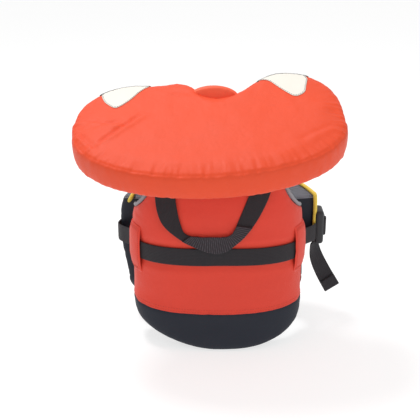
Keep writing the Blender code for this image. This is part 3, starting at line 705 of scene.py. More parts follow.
def smooth_line(points, count):
    """Points along a smooth curve through the given ones."""
    points = [Vector(point) for point in points]
    padded = [points[0] * 2 - points[1]] + points + [points[-1] * 2 - points[-2]]
    line = []
    for i in range(count + 1):
        t = i / count * (len(points) - 1)
        k = min(int(t), len(points) - 2)
        t -= k
        a, b, c, d = padded[k:k + 4]
        line.append(0.5 * (2 * b + (c - a) * t + (2 * a - 5 * b + 4 * c - d) * t ** 2
                           + (3 * b - a - 3 * c + d) * t ** 3))
    return line


def add_tube(name, route, radius, rounds=12):
    """A cord or rolled binding along route, with its cloth place for the weave."""
    points, cloth = [], []
    travelled = 0.0
    reference = Vector((0.0, 0.0, 1.0))
    for i, centre in enumerate(route):
        run = (route[min(i + 1, len(route) - 1)] - route[max(i - 1, 0)]).normalized()
        side = run.cross(reference).normalized()
        reference = side.cross(run).normalized()
        if i:
            travelled += (centre - route[i - 1]).length
        shrink = 0.7 if i in (0, len(route) - 1) else 1.0
        for k in range(rounds):
            turn = 2 * pi * k / rounds
            points.append(centre + (side * cos(turn) + reference * sin(turn)) * radius * shrink)
            cloth.append((travelled, radius * turn, 0.0))
    piece = new_mesh(name, points, tube_faces(len(route), rounds))
    store_cloth(piece.data, cloth)
    return piece


def add_stitches(name, lines, length=0.0026, gap=0.0012, radius=0.00032):
    """Thread dashes along lines of (point, normal) pairs, half sunk into the cloth."""
    points, faces = [], []
    for line in lines:
        spots = np.array([spot for spot, _ in line])
        lifts = np.array([lift for _, lift in line])
        along = running_total(np.linalg.norm(np.diff(spots, axis=0), axis=1))
        for start in np.arange(0.0, along[-1] - length, length + gap):
            ring_at = []
            for share, size in ((0.0, 0.35), (0.2, 1.0), (0.8, 1.0), (1.0, 0.35)):
                here = start + length * share
                centre = Vector([np.interp(here, along, spots[:, k]) for k in range(3)])
                up = Vector([np.interp(here, along, lifts[:, k]) for k in range(3)]).normalized()
                ring_at.append((centre + up * radius * (0.9 * size - 0.5), up, size))
            run = (ring_at[-1][0] - ring_at[0][0]).normalized()
            base = len(points)
            for centre, up, size in ring_at:
                side = run.cross(up).normalized()
                for k in range(6):
                    turn = 2 * pi * k / 6
                    points.append(centre + (side * cos(turn) + up * sin(turn)) * radius * size)
            faces += tube_faces(len(ring_at), 6, base)
    return new_mesh(name, points, faces)


def sew(name, lines, look, body, slot, **sizes):
    """Stitches along the lines, finished as thread."""
    return finish_piece(add_stitches(name, lines, **sizes), look, body, slot)


def seated(tree, bend, route, reach=0.02):
    """Flat points (u, v, d) dropped onto a surface, each with the surface's normal."""
    line = []
    flat = np.array(route, float)
    above = bend(flat + (0, 0, reach))
    below = bend(flat - (0, 0, reach))
    for high, low in zip(above, below):
        high, low = Vector(high), Vector(low)
        spot, normal, _, _ = tree.ray_cast(high, (low - high).normalized(), 2 * (high - low).length)
        if spot:
            if normal.dot(high - low) < 0:
                normal = -normal
            line.append((spot, normal))
    return line


# -------------------------------- materials

class Shader:
    """A new material and short-hand for the nodes that feed its shader."""

    def __init__(self, name, roughness, coordinates):
        self.material = bpy.data.materials.new(name)
        self.material.use_nodes = True
        self.tree = self.material.node_tree
        self.shader = self.tree.nodes["Principled BSDF"]
        self.shader.inputs["Roughness"].default_value = roughness
        self.shader.inputs["Specular IOR Level"].default_value = 0.35
        if coordinates == "cloth":
            self.place = self.add("ShaderNodeAttribute", {"attribute_name": "cloth"}).outputs["Vector"]
        else:
            self.place = self.add("ShaderNodeTexCoord").outputs["Object"]
        self.solid = self.add("ShaderNodeTexCoord").outputs["Object"]
        self.normal = None

    def add(self, kind, settings=None, **inputs):
        node = self.tree.nodes.new(kind)
        for key, value in (settings or {}).items():
            setattr(node, key, value)
        for key, value in inputs.items():
            socket = node.inputs[int(key[1:])] if key[0] == "_" else node.inputs[key]
            if isinstance(value, bpy.types.NodeSocket):
                self.tree.links.new(value, socket)
            else:
                socket.default_value = value
        return node

    def noise(self, scale, detail=3.0, place=None):
        node = self.add("ShaderNodeTexNoise", Vector=place or self.solid, Scale=scale, Detail=detail)
        return node.outputs["Fac"]

    def wave(self, pitch, direction, distortion=0.0):
        """Stripes that repeat every pitch metres."""
        settings = {"bands_direction": direction}
        node = self.add("ShaderNodeTexWave", settings, Vector=self.place, Scale=pi / 10 / pitch,
                        Distortion=distortion)
        return node.outputs["Fac"]

    def math(self, operation, a, b):
        return self.add("ShaderNodeMath", {"operation": operation}, _0=a, _1=b).outputs[0]

    def span(self, value, low, high):
        """The value, from 0 to 1, stretched to run from low to high."""
        node = self.add("ShaderNodeMapRange", _0=value, _3=low, _4=high)
        return node.outputs[0]

    def bump(self, height, distance, strength=1.0):
        node = self.add("ShaderNodeBump", Height=height, Distance=distance, Strength=strength)
        if self.normal:
            self.tree.links.new(self.normal, node.inputs["Normal"])
        self.normal = node.outputs["Normal"]

    def mix(self, share, a, b):
        node = self.add("ShaderNodeMix", {"data_type": "RGBA"}, _0=share, _6=a, _7=b)
        return node.outputs[2]

    def done(self, colour, roughness=None, sheen=0.0):
        self.tree.links.new(colour, self.shader.inputs["Base Color"])
        if roughness:
            self.tree.links.new(roughness, self.shader.inputs["Roughness"])
        if self.normal:
            self.tree.links.new(self.normal, self.shader.inputs["Normal"])
        self.shader.inputs["Sheen Weight"].default_value = sheen
        self.shader.inputs["Sheen Roughness"].default_value = 0.4
        return self.material


def shade(colour, factor):
    return (*(min(1.0, channel * factor) for channel in colour), 1.0)


def woven_cloth(name, colour, roughness, pitch=0.0006, wrinkle=0.0009, sheen=0.08, coordinates="cloth"):
    """Plain-woven nylon: a fine over-and-under weave, soft creases, faint fading."""
    s = Shader(name, roughness, coordinates)
    warp = s.wave(pitch, "X")
    weft = s.wave(pitch, "Y")
    crossing = s.math("MULTIPLY", warp, weft)
    fade = s.noise(16.0, 4.0)
    slub = s.noise(420.0, 2.0)
    s.bump(s.noise(55.0, 5.0), wrinkle)
    s.bump(s.noise(190.0, 3.0), wrinkle * 0.28)
    s.bump(crossing, 0.00012, 0.7)
    tone = s.mix(s.span(fade, 0.1, 0.9), shade(colour, 0.90), shade(colour, 1.07))
    tone = s.mix(s.span(slub, 0.0, 0.35), tone, shade(colour, 0.82))
    tone = s.mix(s.span(crossing, 0.22, 0.0), tone, shade(colour, 0.66))
    return s.done(tone, s.span(fade, roughness - 0.07, roughness + 0.07), sheen)


def webbing(name, colour, rib=0.0016, light=1.6, coordinates="cloth"):
    """Narrow woven webbing: ribs across it, and cords and chevrons along it."""
    s = Shader(name, 0.7, coordinates)
    ribs = s.wave(rib, "X")
    cords = s.wave(0.0021, "Y")
    chevrons = s.wave(rib * 1.5, "DIAGONAL", 0.4)
    grain = s.noise(900.0, 2.0)
    wear = s.noise(60.0, 4.0)
    height = s.math("ADD", s.math("MULTIPLY", ribs, 0.7), s.math("MULTIPLY", cords, 0.5))
    s.bump(s.math("ADD", height, s.math("MULTIPLY", chevrons, 0.3)), 0.00045, 0.9)
    s.bump(grain, 0.00015, 0.6)
    # The ribs are painted darker between them and lighter on their crests: painted shade and a painted
    # highlight of the rib relief. light sets how bright the painted highlight is.
    tone = s.mix(ribs, shade(colour, 0.45), shade(colour, light))
    tone = s.mix(s.span(chevrons, 0.0, 0.4), tone, shade(colour, 1.1))
    tone = s.mix(s.span(wear, 0.0, 0.45), tone, shade(colour, 1.9))
    return s.done(tone, s.span(wear, 0.60, 0.82), 0.10)


def spacer_mesh(name, colour):
    """Knitted mesh with small round holes in staggered rows."""
    s = Shader(name, 0.8, "cloth")
    cells = s.add("ShaderNodeTexVoronoi", Vector=s.place, Scale=420.0, Randomness=0.15)
    hole = s.add("ShaderNodeMapRange", _0=cells.outputs["Distance"], _1=0.22, _2=0.42).outputs[0]
    s.bump(s.noise(60.0, 4.0), 0.0008)
    s.bump(hole, 0.0005, 0.9)
    tone = s.mix(s.noise(30.0, 3.0), shade(colour, 0.8), shade(colour, 1.25))
    tone = s.mix(hole, shade(colour, 0.22), tone)
    return s.done(tone, None, 0.1)


def moulded_plastic(name, colour, roughness=0.38):
    """Moulded nylon with a fine spark texture, faint scuffs, and edges made paler partly by wear and partly
    by a painted highlight.
    """
    s = Shader(name, roughness, "object")
    scuffs = s.noise(130.0, 6.0)
    s.bump(s.noise(2600.0, 2.0), 0.00004, 0.6)
    s.bump(scuffs, 0.00012, 0.4)
    edges = s.add("ShaderNodeNewGeometry").outputs["Pointiness"]
    worn_and_highlit = s.add("ShaderNodeMapRange", _0=edges, _1=0.52, _2=0.60).outputs[0]
    tone = s.mix(s.span(scuffs, 0.1, 0.8), shade(colour, 0.8), shade(colour, 1.5))
    # Paler edges: partly wear, partly a painted highlight where the edges catch the light.
    tone = s.mix(s.math("MULTIPLY", worn_and_highlit, 0.5), tone, shade(colour, 4.0))
    return s.done(tone, s.span(scuffs, roughness - 0.12, roughness + 0.2))


def reflective_film(name, colour):
    """Silvery retro-reflective film, with its fine bead grid pressed in."""
    s = Shader(name, 0.34, "cloth")
    grid = s.math("MULTIPLY", s.wave(0.0011, "DIAGONAL"), s.wave(0.0011, "X"))
    scuffs = s.noise(90.0, 5.0)
    s.bump(scuffs, 0.0003, 0.5)
    s.bump(grid, 0.00006, 0.6)
    tone = s.mix(s.span(grid, 0.3, 0.0), shade(colour, 1.02), shade(colour, 0.90))
    tone = s.mix(s.span(scuffs, 0.0, 0.35), tone, shade(colour, 0.85))
    return s.done(tone, s.span(scuffs, 0.25, 0.5))


def thread(name, colour):
    s = Shader(name, 0.65, "object")
    twist = s.noise(2200.0, 1.0)
    s.bump(twist, 0.00008, 0.8)
    return s.done(s.mix(twist, shade(colour, 0.6), shade(colour, 1.2)), None, 0.1)


ORANGE = (0.80, 0.058, 0.030)
ORANGE_TOP = (0.84, 0.072, 0.016)
NAVY = (0.012, 0.016, 0.028)
BLACK = (0.016, 0.014, 0.017)
GREY = (0.17, 0.185, 0.215)
YELLOW = (0.90, 0.68, 0.09)

MATERIALS = {
    "top": woven_cloth("coated_orange_nylon", ORANGE_TOP, 0.52, sheen=0.04),
    "orange": woven_cloth("orange_nylon", ORANGE, 0.60),
    # The neck yoke's orange is the collar's orange made lighter: painted light, so that its upright face
    # looks as bright as the lit top of the collar.
    "yoke": woven_cloth("orange_nylon_painted_light", (1.0, 0.135, 0.060), 0.55),
    "navy": woven_cloth("navy_oxford_nylon", NAVY, 0.62, pitch=0.0009, wrinkle=0.0008, sheen=0.03),
    "mesh": spacer_mesh("grey_spacer_mesh", GREY),
    "tape": woven_cloth("grey_binding_tape", (0.30, 0.31, 0.33), 0.7, pitch=0.0012, wrinkle=0.0004),
    # A thin dark cord along each reflective patch's far edge, just inside the collar's seam.
    "dark_edge": woven_cloth("dark_edge_cord", (0.10, 0.085, 0.075), 0.7, pitch=0.0010, wrinkle=0.0003),
    "webbing": webbing("black_webbing", BLACK),
    # Its light of 5.0 paints strong highlights on the grip's ribs.
    "grip": webbing("black_grip_webbing", BLACK, rib=0.0028, light=5.0),
    "tape_plain": webbing("black_zip_tape", BLACK, rib=0.0008, coordinates="object"),
    "plastic": moulded_plastic("black_moulded_plastic", (0.016, 0.017, 0.019)),
    "teeth": moulded_plastic("black_zip_teeth", (0.020, 0.021, 0.023), 0.30),
    "yellow": woven_cloth("yellow_piping_cloth", YELLOW, 0.5, pitch=0.0007, wrinkle=0.0003),
    "film": reflective_film("reflective_film", (0.82, 0.78, 0.70)),
    "orange_thread": thread("orange_thread", (0.62, 0.06, 0.035)),
    "grey_thread": thread("grey_thread", (0.20, 0.20, 0.22)),
}


# -------------------------------- collar

# Where the collar's top has sewn-in or pressed creases: start, end, width, depth
TOP_CREASES = (
    ((-0.156, -0.100), (-0.084, -0.028), 0.0030, 0.0026),
    ((-0.176, -0.062), (-0.146, -0.106), 0.0022, 0.0026),
    ((-0.162, -0.058), (-0.110, -0.046), 0.0042, 0.0014),
    ((-0.168, -0.040), (-0.100, -0.060), 0.0036, 0.0012),
    ((0.020, 0.006), (-0.060, 0.012), 0.0060, 0.0014),
    ((0.095, -0.110), (0.150, -0.075), 0.0040, 0.0010),
)


def build_collar():
    """One stuffed pillow from horn to horn across the wearer's shoulders."""
    outline = collar_outline()
    shell, points, side, inward, along, outward = stuffed_shell(
        "collar_pillow", outline, COLLAR_MIDDLE, (-COLLAR_THICK, 0.0), 144, COLLAR_CAP,
        face_rings=14, band_rows=3, edge=EDGE_ROUND)
    band = 1.0 - np.abs(side)
    near = np.clip((0.02 - points[:, 1]) / 0.06, 0.25, 1.0)
    cloth = np.column_stack([points[:, :2], np.zeros(len(points))])
    on_band = np.abs(side) < 0.5
    cloth[on_band] = np.column_stack([along, points[:, 2], np.zeros(len(points))])[on_band]

    folds = pucker(along, inward, 0.014, 0.0052, 3.0) * near
    slack = noise_at(points, 13.0, 5.0) * 0.0016 + noise_at(points, (60.0, 26.0, 30.0), 9.0) * 0.0005
    seam = np.exp(-((inward - 0.0030) / 0.0012) ** 2)
    lift = folds * 0.0034 + slack * ramp(inward, 0.0, 0.02) - seam * 0.0012
    for start, end, width, depth in TOP_CREASES:
        lift += crease(points, start, end, width, depth)
    raise_faces(points, side, lift, folds * 0.0016 + slack)

    level = points[:, 2] / -COLLAR_THICK
    high = pucker(along, np.clip(level, 0, 1) * COLLAR_THICK, 0.011, 0.0070, 3.0)
    low = pucker(along, np.clip(1 - level, 0, 1) * COLLAR_THICK, 0.010, 0.0062, 17.0)
    bulge = 0.0016 * np.sin(pi * np.clip(level, 0, 1))
    points[:, :2] += outward * (band * (0.0020 * high + 0.0022 * low + bulge))[:, None]

    set_points(shell.data, on_collar(points))
    store_cloth(shell.data, cloth)
    finish_piece(shell, "top", None, "orange_coated",
                 *(f"{whole}_{part}" for whole in ("collar", "horn_left", "horn_right")
                   for part in ("cover", "band", "foam", "lining")))
    fold_collar(shell)
    return surface_tree(shell)


def fold_collar(piece):
    """Bake the piece's placement into its mesh."""
    place(on_collar, 0, FOLD_SPAN, FOLD_DEPTH)
    place(on_collar, 0, -FOLD_SPAN, FOLD_DEPTH)
    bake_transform(piece)


def build_patch(name, tree):
    """Reflective film laid on a horn and stitched down round its edge."""
    ring = resample(patch_outline(name), 120)
    centre = ring.mean(axis=0)
    rows = 12
    flat = [(*centre, 0.0)]
    for row in range(1, rows + 1):
        flat += [(u, v, 0.0) for u, v in centre + (ring - centre) * row / rows]
    flat = np.array(flat)
    points = [spot + normal * FILM_THICK for spot, normal in seated(tree, on_collar, flat)]
    count = len(ring)
    faces = [(0, 1 + i, 1 + (i + 1) % count) for i in range(count)]
    for row in range(rows - 1):
        for i in range(count):
            a = 1 + row * count + i
            b = 1 + row * count + (i + 1) % count
            faces.append((a, a + count, b + count, b))
    patch = new_mesh(f"reflective_film_{name}", points, faces)
    store_cloth(patch.data, flat)
    apply_modifier(patch, "SOLIDIFY", thickness=FILM_THICK, offset=0.0)
    finish_piece(patch, "film", None, "reflective_tape", f"reflective_patch_{name}")
    edge = centre + (ring - centre) * 0.95
    line = seated(tree, on_collar, [(u, v, 0.0) for u, v in np.vstack([edge, edge[:1]])])
    line = [(spot + normal * 0.0009, normal) for spot, normal in line]
    stitches = sew(f"film_stitches_{name}", [line], "grey_thread", None, "grey_tape", length=0.0022)
    low, high = sorted((PATCHES[name][0][0], PATCHES[name][-1][0]))
    rim = [(p, r - 0.0034, 0.0) for p, r in far_side() if low - 0.003 < p < high + 0.003]
    rim = [spot + normal * 0.0004 for spot, normal in seated(tree, on_collar, rim)]
    # A thin dark cord along the patch's far edge, just inside the collar's seam.
    cord = add_tube(f"film_edge_{name}", rim, 0.0015, rounds=8)
    finish_piece(cord, "dark_edge", None, "grey_tape")
    for piece in (patch, stitches, cord):
        fold_collar(piece)


# -------------------------------- back panel

def build_back():
    """The back panel: orange cloth over a navy hem, and mesh inside."""
    shell, points, side, inward, along, _ = stuffed_shell(
        "back_shell", back_outline(), (0.0, 0.150), (0.0, BACK_THICK), 128, PANEL_CAP, seam_height,
        face_rings=12, band_rows=2, edge=EDGE_ROUND)
    seam = points[:, 1] - np.array([seam_height(u) for u in points[:, 0]])
    faces_side = face_means(shell.data, side)
    faces_seam = face_means(shell.data, seam)
    store_cloth(shell.data, points * (1, 1, 0))

    folds = pucker(along, inward, 0.012, 0.0075, 41.0)
    at_seam = pucker(points[:, 0], np.abs(seam), 0.011, 0.0085, 53.0)
    slack = noise_at(points, (11.0, 17.0, 1.0), 23.0) * 0.0013
    slack += noise_at(points, (34.0, 60.0, 1.0), 29.0) * 0.0005
    groove = np.exp(-(seam / 0.0013) ** 2) + 0.5 * np.exp(-((seam - 0.0045) / 0.0010) ** 2)
    lift = folds * 0.0013 + at_seam * 0.0012 + slack * ramp(inward, 0.0, 0.02) - groove * 0.0011
    raise_faces(points, side, lift, folds * 0.001 + slack)
    press_belt(points, BACK_THICK)
    set_points(shell.data, bend_back(points))

    parts = (
        ("back_cloth_upper", (faces_side > -0.5) & (faces_seam > 0), "orange", "orange_cloth",
         ("back_upper_cover", "back_band", "back_foam")),
        ("back_cloth_hem", (faces_side > -0.5) & (faces_seam <= 0), "navy", "navy_cloth",
         ("back_hem_cover",)),
        ("back_mesh_lining", faces_side <= -0.5, "mesh", "grey_mesh", ("back_lining",)),
    )
    tree = surface_tree(shell)
    cut_panel(shell, parts, "root")
    span = np.linspace(-BACK_HALF_ARC + 0.003, BACK_HALF_ARC - 0.003, 90)
    rows = [[(u, seam_height(u) + rise, BACK_THICK) for u in span] for rise in (0.0026, 0.0066)]
    lines = [seated(tree, bend_back, row) for row in rows]
    sew("hem_stitches_back", lines, "orange_thread", "root", "orange_cloth")


def build_bindings():
    """Grey tape rolled over the back panel's armhole edges."""
    edge = shift_right(np.array(sample(armhole, 0.02, 0.97, 40)), 0.0015)
    depth = np.full(len(edge), BACK_THICK - 0.003)
    for side, name in SIDES:
        flat = np.column_stack([edge[:, 0] * side, edge[:, 1], depth])
        route = [Vector(point) for point in bend_body(flat)]
        piece = add_tube(f"armhole_tape_{name}", route, BINDING_RADIUS)
        finish_piece(piece, "tape", "root", "grey_tape", f"armhole_binding_{name}")


def build_yoke():
    """The puffed tongue of the back panel behind the neck."""
    yoke_map = plane_map((YOKE_X, -0.0180, BACK_TOP_Z + 0.0015), (1, 0, 0), (0, -0.18, 1))
    arch = sample(lambda a: (0.0340 * cos(a) - 0.0025, 0.052 + 0.018 * sin(a)), 0.0, pi, 24)
    outline = [(-0.0315, 0.0), (0.0315, 0.0)] + arch
    yoke, points, side, inward, along, _ = stuffed_shell(
        "neck_yoke_pad", outline, (0.0, 0.032), (-0.0028, 0.0028), 64, YOKE_CAP,
        face_rings=8, band_rows=1, edge=0.0015)
    store_cloth(yoke.data, points * (1, 1, 0))
    crown = ramp(inward, 0.0, 0.02) ** 0.6 * 0.0060
    folds = pucker(along, inward, 0.009, 0.006, 61.0) * 0.0010
    points[:, 2] += side * (crown + folds + noise_at(points, 40.0, 67.0) * 0.0006)
    set_points(yoke.data, yoke_map(points))
    # Its material is a lightened orange: painted light on the yoke's upright face.
    finish_piece(yoke, "yoke", "root", "orange_coated", "neck_yoke")


# -------------------------------- belt, loops, handle

def belt_route(start, end, depth, seed, count=60):
    """Flat points along the belt, with the slight waver of webbing that isn't under tension."""
    span = np.linspace(start, end, count)
    waver = noise_along(span, 18, seed)
    return [(u, BELT_Z + 0.0007 * w, depth + 0.0003 * w) for u, w in zip(span, waver)]


def build_belts():
    """The waist belt on the back panel and on each front panel, up to its half of the buckle."""
    route = belt_route(-0.126, 0.126, BACK_THICK + 0.0020, 2.0)
    back = strip_on("waist_webbing_back", bend_body, route, BELT_THICK)
    finish_piece(back, "webbing", "root", "black_webbing", "waist_belt_back")
    for (side, name), buckle_gap in zip(SIDES, (0.052, 0.037)):
        start, end = side * (FRONT_REAR_ARC + 0.010), side * (HALF_GIRTH - buckle_gap)
        route = belt_route(start, end, FRONT_THICK + 0.0022, 4.0 + side, 40)
        front = strip_on(f"waist_webbing_{name}", bend_front, route, BELT_THICK)
        finish_piece(front, "webbing", f"front_{name}", "black_webbing", f"front_belt_{name}")


def build_belt_side(side, name):
    """The belt's run over the side mesh, blended from the back panel's curve to the front panel's."""
    span = np.linspace(0.1205, 0.1660, 26)
    share = ramp(span, BACK_HALF_ARC, FRONT_REAR_ARC)
    share = (share ** 2 * (3 - 2 * share))[:, None]
    depth = BACK_THICK + 0.0040 + (FRONT_THICK - BACK_THICK - 0.0032) * share[:, 0]
    flat = np.column_stack([span * side, np.full(len(span), BELT_Z), depth])
    centres = bend_body(flat) * (1 - share) + bend_front(flat) * share
    belt = add_strip(f"waist_webbing_side_{name}", centres, (0, 0, 1), BELT_THICK)
    finish_piece(belt, "webbing", None, "black_webbing")
    place(bend_body, side * (BACK_HALF_ARC + 0.004), BELT_Z, BACK_THICK)
    place(bend_body, side * (FRONT_REAR_ARC - 0.002), BELT_Z, FRONT_THICK)
    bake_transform(belt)


def loop_depth(z):
    """How far out the loop lies at this height: it bows out between its sewn ends."""
    middle = sum(LOOP_HEIGHTS) / 2
    half = (LOOP_HEIGHTS[1] - LOOP_HEIGHTS[0]) / 2
    share = max(0.0, 1 - (abs(z - middle) / half) ** 3.2)
    return BACK_THICK + 0.0014 + 0.0044 * share


def build_loop(side, name):
    """A folded cloth sleeve, bartacked at both ends, that bows out over the belt."""
    heights = np.linspace(LOOP_HEIGHTS[0], LOOP_HEIGHTS[1], 40)
    jitter = noise_along(heights, 90, 71.0 + side) * 0.0004
    route = [(side * LOOP_ARC + j, z, loop_depth(z) + j) for z, j in zip(heights, jitter)]
    loop = strip_on(f"belt_sleeve_{name}", np.array, route, LOOP_THICK, LOOP_WIDTH, bow=0.0008)
    set_points(loop.data, bend_body(get_points(loop.data)))
    finish_piece(loop, "orange", "root", "orange_cloth", f"belt_loop_{name}")
    tree = surface_tree(loop)
    lines = []
    for rise in (0.003, 0.0045, 0.006, 0.061, 0.0625, 0.064):
        z = LOOP_HEIGHTS[0] + rise
        span = np.linspace(-0.0093, 0.0093, 14) + side * LOOP_ARC
        lines.append(seated(tree, bend_body, [(u, z, loop_depth(z)) for u in span], 0.006))
    for offset in (-0.0098, 0.0098):
        edge = [(side * LOOP_ARC + offset, z, loop_depth(z)) for z in heights[2:-2]]
        lines.append(seated(tree, bend_body, edge, 0.006))
    lines = [line for line in lines if len(line) > 2]
    sew(f"sleeve_stitches_{name}", lines, "orange_thread", "root", "orange_cloth",
        length=0.0020, gap=0.0010)


def build_handle():
    """Webbing that hangs from under the collar, folded over and stitched into a grip at the bottom."""
    outer, inner = (on_handle(smooth_line([(*point, 0.0) for point in line], 110))
                    for line in (HANDLE_OUTER, HANDLE_INNER))
    widths = np.linalg.norm(outer - inner, axis=1)
    middle = (outer + inner) / 2
    out = np.array(on_handle([(0, 0, 1)])[0] - on_handle([(0, 0, 0)])[0])
    for name, start, end, thick, lift, look, nodes in (
            ("leg_left", 0, 40, 0.0021, 0.0, "webbing", ()),
            ("grip", 33, 86, 0.0026, 0.0020, "grip", ("grab_handle",)),
            ("leg_right", 79, 111, 0.0021, 0.0, "webbing", ())):
        piece = add_strip(f"handle_{name}", middle[start:end] + out * lift, (inner - outer)[start:end],
                          thick, widths[start:end], bow=lift * 0.4)
        finish_piece(piece, look, "handle", "black_webbing", *nodes)
    heights = np.linspace(0.2535, 0.275, 14)
    for side, name in SIDES:
        route = [(side * HANDLE_HALF_TOP, z, BACK_THICK + 0.0020) for z in heights]
        anchor = strip_on(f"handle_end_{name}", bend_body, route, BELT_THICK)
        finish_piece(anchor, "webbing", "root", "black_webbing", f"handle_anchor_{name}")


# -------------------------------- sides, shoulders and fronts

def build_side_panel(side, name):
    """Thin mesh under the arm, sewn to the back panel and to the front panel's rear edge."""
    rows = np.linspace(*SIDE_MESH_Z, 24)
    count = 12
    columns = np.linspace(BACK_HALF_ARC - 0.002, FRONT_REAR_ARC + 0.002, count)
    flat = []
    for v in rows:
        for k, u in enumerate(columns):
            ripple = sin(pi * k / (count - 1)) * (1 + noise.noise(Vector((v * 60, k, 0))))
            flat.append((side * u, v, 0.0045 + 0.0012 * ripple))
    starts = [row * count + k for row in range(len(rows) - 1) for k in range(count - 1)]
    faces = [(a, a + 1, a + count + 1, a + count) for a in starts]
    panel = new_mesh(f"side_mesh_{name}", bend_body(flat), faces)
    store_cloth(panel.data, np.array(flat) * (1, 1, 0))
    apply_modifier(panel, "SOLIDIFY", thickness=SIDE_MESH_THICK, offset=0.0)
    finish_piece(panel, "mesh", None, "grey_mesh", f"side_panel_{name}")
    place(bend_body, side * (BACK_HALF_ARC + 0.004), 0.13, 0)
    place(bend_body, side * (FRONT_REAR_ARC - 0.004), 0.13, 0)
    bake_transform(panel)


def build_shoulder(side, name):
    """Padded mesh strap over the shoulder, from the back panel to the front panel."""
    route = [(side * SHOULDER_X, y, z) for y, z in SHOULDER_ROUTE]
    line = [point + Vector(SHIFT) for point in smooth_line(route, 48)]
    strap = add_strip(f"shoulder_pad_{name}", line, (1, 0, 0), STRAP_THICK, STRAP_WIDTH)
    points = get_points(strap.data)
    points[:, 2] += noise_at(points, 60.0, 83.0) * 0.0006
    set_points(strap.data, points)
    finish_piece(strap, "mesh", None, "grey_mesh", f"shoulder_strap_{name}")
    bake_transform(strap)


def build_front(side, name):
    """A front panel: orange cloth, a navy hem and edge band, mesh inside and at the armhole."""
    outline = mirrored(front_outline()) if side < 0 else front_outline()
    body = f"front_{name}"
    shell, points, side_of, inward, along, _ = stuffed_shell(
        f"front_shell_{name}", outline, (side * 0.200, 0.120), (0.0, FRONT_THICK), 96, PANEL_CAP,
        lambda u: FRONT_SEAM_Z, face_rings=9, band_rows=3, edge=EDGE_ROUND)
    seam = points[:, 1] - FRONT_SEAM_Z
    faces_side = face_means(shell.data, side_of)
    faces_seam = face_means(shell.data, seam)
    faces_height = face_means(shell.data, points[:, 1])
    cloth = points * (1, 1, 0)
    on_band = np.abs(side_of) < 0.5
    cloth[on_band] = np.column_stack([along, points[:, 2], along * 0])[on_band]
    store_cloth(shell.data, cloth)

    folds = pucker(along, inward, 0.012, 0.0075, 91.0 + side)
    at_seam = pucker(points[:, 0], np.abs(seam), 0.010, 0.0080, 97.0)
    slack = noise_at(points, (15.0, 15.0, 1.0), 101.0 + side) * 0.0012
    groove = np.exp(-(seam / 0.0013) ** 2)
    lift = folds * 0.0013 + at_seam * 0.0010 + slack * ramp(inward, 0.0, 0.02) - groove * 0.0010
    raise_faces(points, side_of, lift, folds * 0.001 + slack)
    press_belt(points, FRONT_THICK)
    set_points(shell.data, bend_front(points))
    tree = surface_tree(shell)

    is_upper = (faces_side > 0.92) & (faces_seam > 0)
    is_lining = (faces_side <= -0.5) | ((faces_side < 0.5) & (faces_height > FRONT_BAND_TOP_Z))
    parts = (
        (f"front_cloth_upper_{name}", is_upper, "orange", "orange_cloth",
         (f"front_upper_cover_{name}", f"front_{name}_foam")),
        (f"front_cloth_hem_{name}", ~is_upper & ~is_lining, "navy", "navy_cloth",
         (f"front_hem_cover_{name}", f"front_{name}_band")),
        (f"front_mesh_lining_{name}", is_lining, "mesh", "grey_mesh", (f"front_{name}_lining",)),
    )
    cut_panel(shell, parts, body)
    span = np.linspace(FRONT_REAR_ARC + 0.006, FRONT_EDGE_ARC - 0.006, 50) * side
    line = seated(tree, bend_front, [(u, FRONT_SEAM_Z + 0.0028, FRONT_THICK) for u in span])
    sew(f"hem_stitches_{name}", [line], "orange_thread", body, "orange_cloth")
    build_piping(side, name)


def build_piping(side, name):
    """Yellow piping along the front armhole; on the left the swollen side hides its lower end."""
    edge = sample(front_side_curve, 0.12, 1.0, 26)
    edge = np.array(edge + [(FRONT_REAR_ARC, 0.168), (FRONT_REAR_ARC, 0.145)])
    depth = np.full(len(edge), FRONT_THICK - 0.0022)
    if side < 0:
        upper = ramp(edge[:, 1], 0.166, 0.178)
        depth -= 0.0100 * upper
        edge[:, 0] += 0.0100 * (1 - upper)
    edge = shift_right(edge, 0.0018)
    flat = np.column_stack([edge[:, 0] * side, edge[:, 1], depth])
    route = [Vector(point) for point in bend_front(flat)]
    piece = add_tube(f"piping_cord_{name}", smooth_line(route, 70), PIPING_RADIUS)
    finish_piece(piece, "yellow", f"front_{name}", "yellow_piping", f"piping_{name}")


# -------------------------------- adjuster webbing and loose end

def build_tail():
    """The belt's loose end: it leaves the adjuster edge on, twists to face out, and ends in a fold."""
    top = Vector(TAIL_TOP) + Vector(SHIFT)
    path = smooth_line([top + Vector(step) for step in TAIL_STEPS], 40)
    sideways = []
    for i in range(len(path)):
        share = i / (len(path) - 1)
        twist = radians(62 - 50 * share ** 0.8)
        tilt = radians(20 + 8 * share)
        across = Vector((cos(tilt), 0.0, sin(tilt)))
        sideways.append(across * cos(twist) + Vector((0.0, sin(twist), 0.0)))
    tail = add_strip("belt_loose_end", path, sideways, 0.0018, bow=0.0006)
    finish_piece(tail, "webbing", "tail", "black_webbing", "belt_tail")
    normal = (path[-1] - path[-2]).cross(sideways[-1]).normalized()
    hem = [point + normal * 0.0017 for point in path[-8:]]
    fold = add_strip("belt_loose_end_hem", hem, sideways[-8:], 0.0016)
    finish_piece(fold, "webbing", "tail", "black_webbing")


def build_adjuster_webbing():
    """Webbing laced through the adjuster: it bulges out round each bar."""
    centre = Vector(ADJUSTER) + Vector(SHIFT)
    for number, (y, reach) in enumerate(((-0.0085, 0.0078), (0.0, 0.0092), (0.0085, 0.0078))):
        turn = np.linspace(-0.42 * pi, 0.42 * pi, 16)
        path = [centre + Vector((0.0015 + reach * cos(a), y + 0.0036 * sin(a), 0.0)) for a in turn]
        wrap = add_strip(f"adjuster_webbing_{number}", path, (0, 0, 1), 0.0016)
        finish_piece(wrap, "webbing", "front_right", "black_webbing")


# -------------------------------- hardware from the CAD

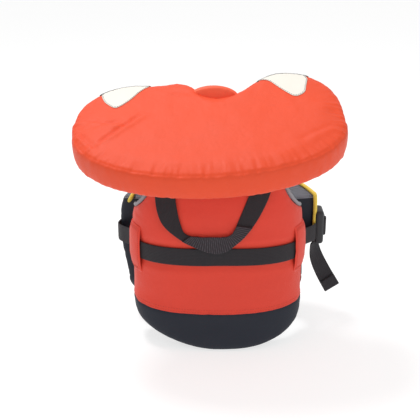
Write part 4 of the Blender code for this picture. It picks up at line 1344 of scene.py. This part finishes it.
# The first of these that a node's name starts with decides its material
HARDWARE = {"zip_tape": "tape_plain", "zip_teeth": "teeth", "zip_": "plastic",
            "buckle_": "plastic", "belt_adjuster": "plastic"}


def finish_hardware():
    """Better materials for the moulded CAD pieces, which keep their shapes."""
    for node, piece in frame["nodes"].items():
        chosen = next((look for start, look in HARDWARE.items() if node.startswith(start)), None)
        if chosen:
            for slot in piece.material_slots:
                slot.material = MATERIALS[chosen]


# -------------------------------- camera, light and stage

def build_camera():
    data = bpy.data.cameras.new("camera")
    data.lens = LENS
    data.sensor_width = 36.0
    camera = new_object("camera", data)
    camera.location = TARGET + Vector((0.0, -cos(ELEVATION), sin(ELEVATION))) * DISTANCE
    camera.rotation_euler = (pi / 2 - ELEVATION, 0.0, 0.0)
    bpy.context.scene.camera = camera


def add_area_light(name, spot, aim, size, energy):
    data = bpy.data.lights.new(name, "AREA")
    data.size = size
    data.energy = energy
    light = new_object(name, data)
    light.location = spot
    light.rotation_euler = (Vector(aim) - Vector(spot)).to_track_quat("-Z", "Y").to_euler()


def build_stage():
    world = bpy.data.worlds.new("studio")
    world.use_nodes = True
    background = world.node_tree.nodes["Background"]
    background.inputs["Color"].default_value = (1.0, 1.0, 1.0, 1.0)
    background.inputs["Strength"].default_value = 0.62
    bpy.context.scene.world = world
    bpy.context.scene.view_settings.view_transform = "Standard"
    bpy.ops.mesh.primitive_plane_add(size=30.0, location=(0.0, 0.0, -0.0005))
    floor = bpy.context.object
    floor.name = "floor"
    material = bpy.data.materials.new("floor")
    material.use_nodes = True
    shader = material.node_tree.nodes["Principled BSDF"]
    shader.inputs["Base Color"].default_value = (0.42, 0.42, 0.42, 1.0)
    shader.inputs["Roughness"].default_value = 0.9
    shader.inputs["Emission Color"].default_value = (1.0, 1.0, 1.0, 1.0)
    shader.inputs["Emission Strength"].default_value = 0.68
    floor.data.materials.append(material)
    add_area_light("key", (-0.55, 0.25, 2.0), (0, 0, 0.25), 0.5, 24)
    add_area_light("fill", (1.3, -1.9, 1.2), (0, 0, 0.2), 0.8, 7)


# -------------------------------- the whole jacket

build_camera()
build_stage()
collar_tree = build_collar()
for name in PATCHES:
    build_patch(name, collar_tree)
build_back()
build_bindings()
build_yoke()
build_belts()
build_handle()
for side, name in SIDES:
    build_loop(side, name)
    build_side_panel(side, name)
    build_belt_side(side, name)
    build_shoulder(side, name)
    build_front(side, name)
build_tail()
build_adjuster_webbing()
finish_hardware()
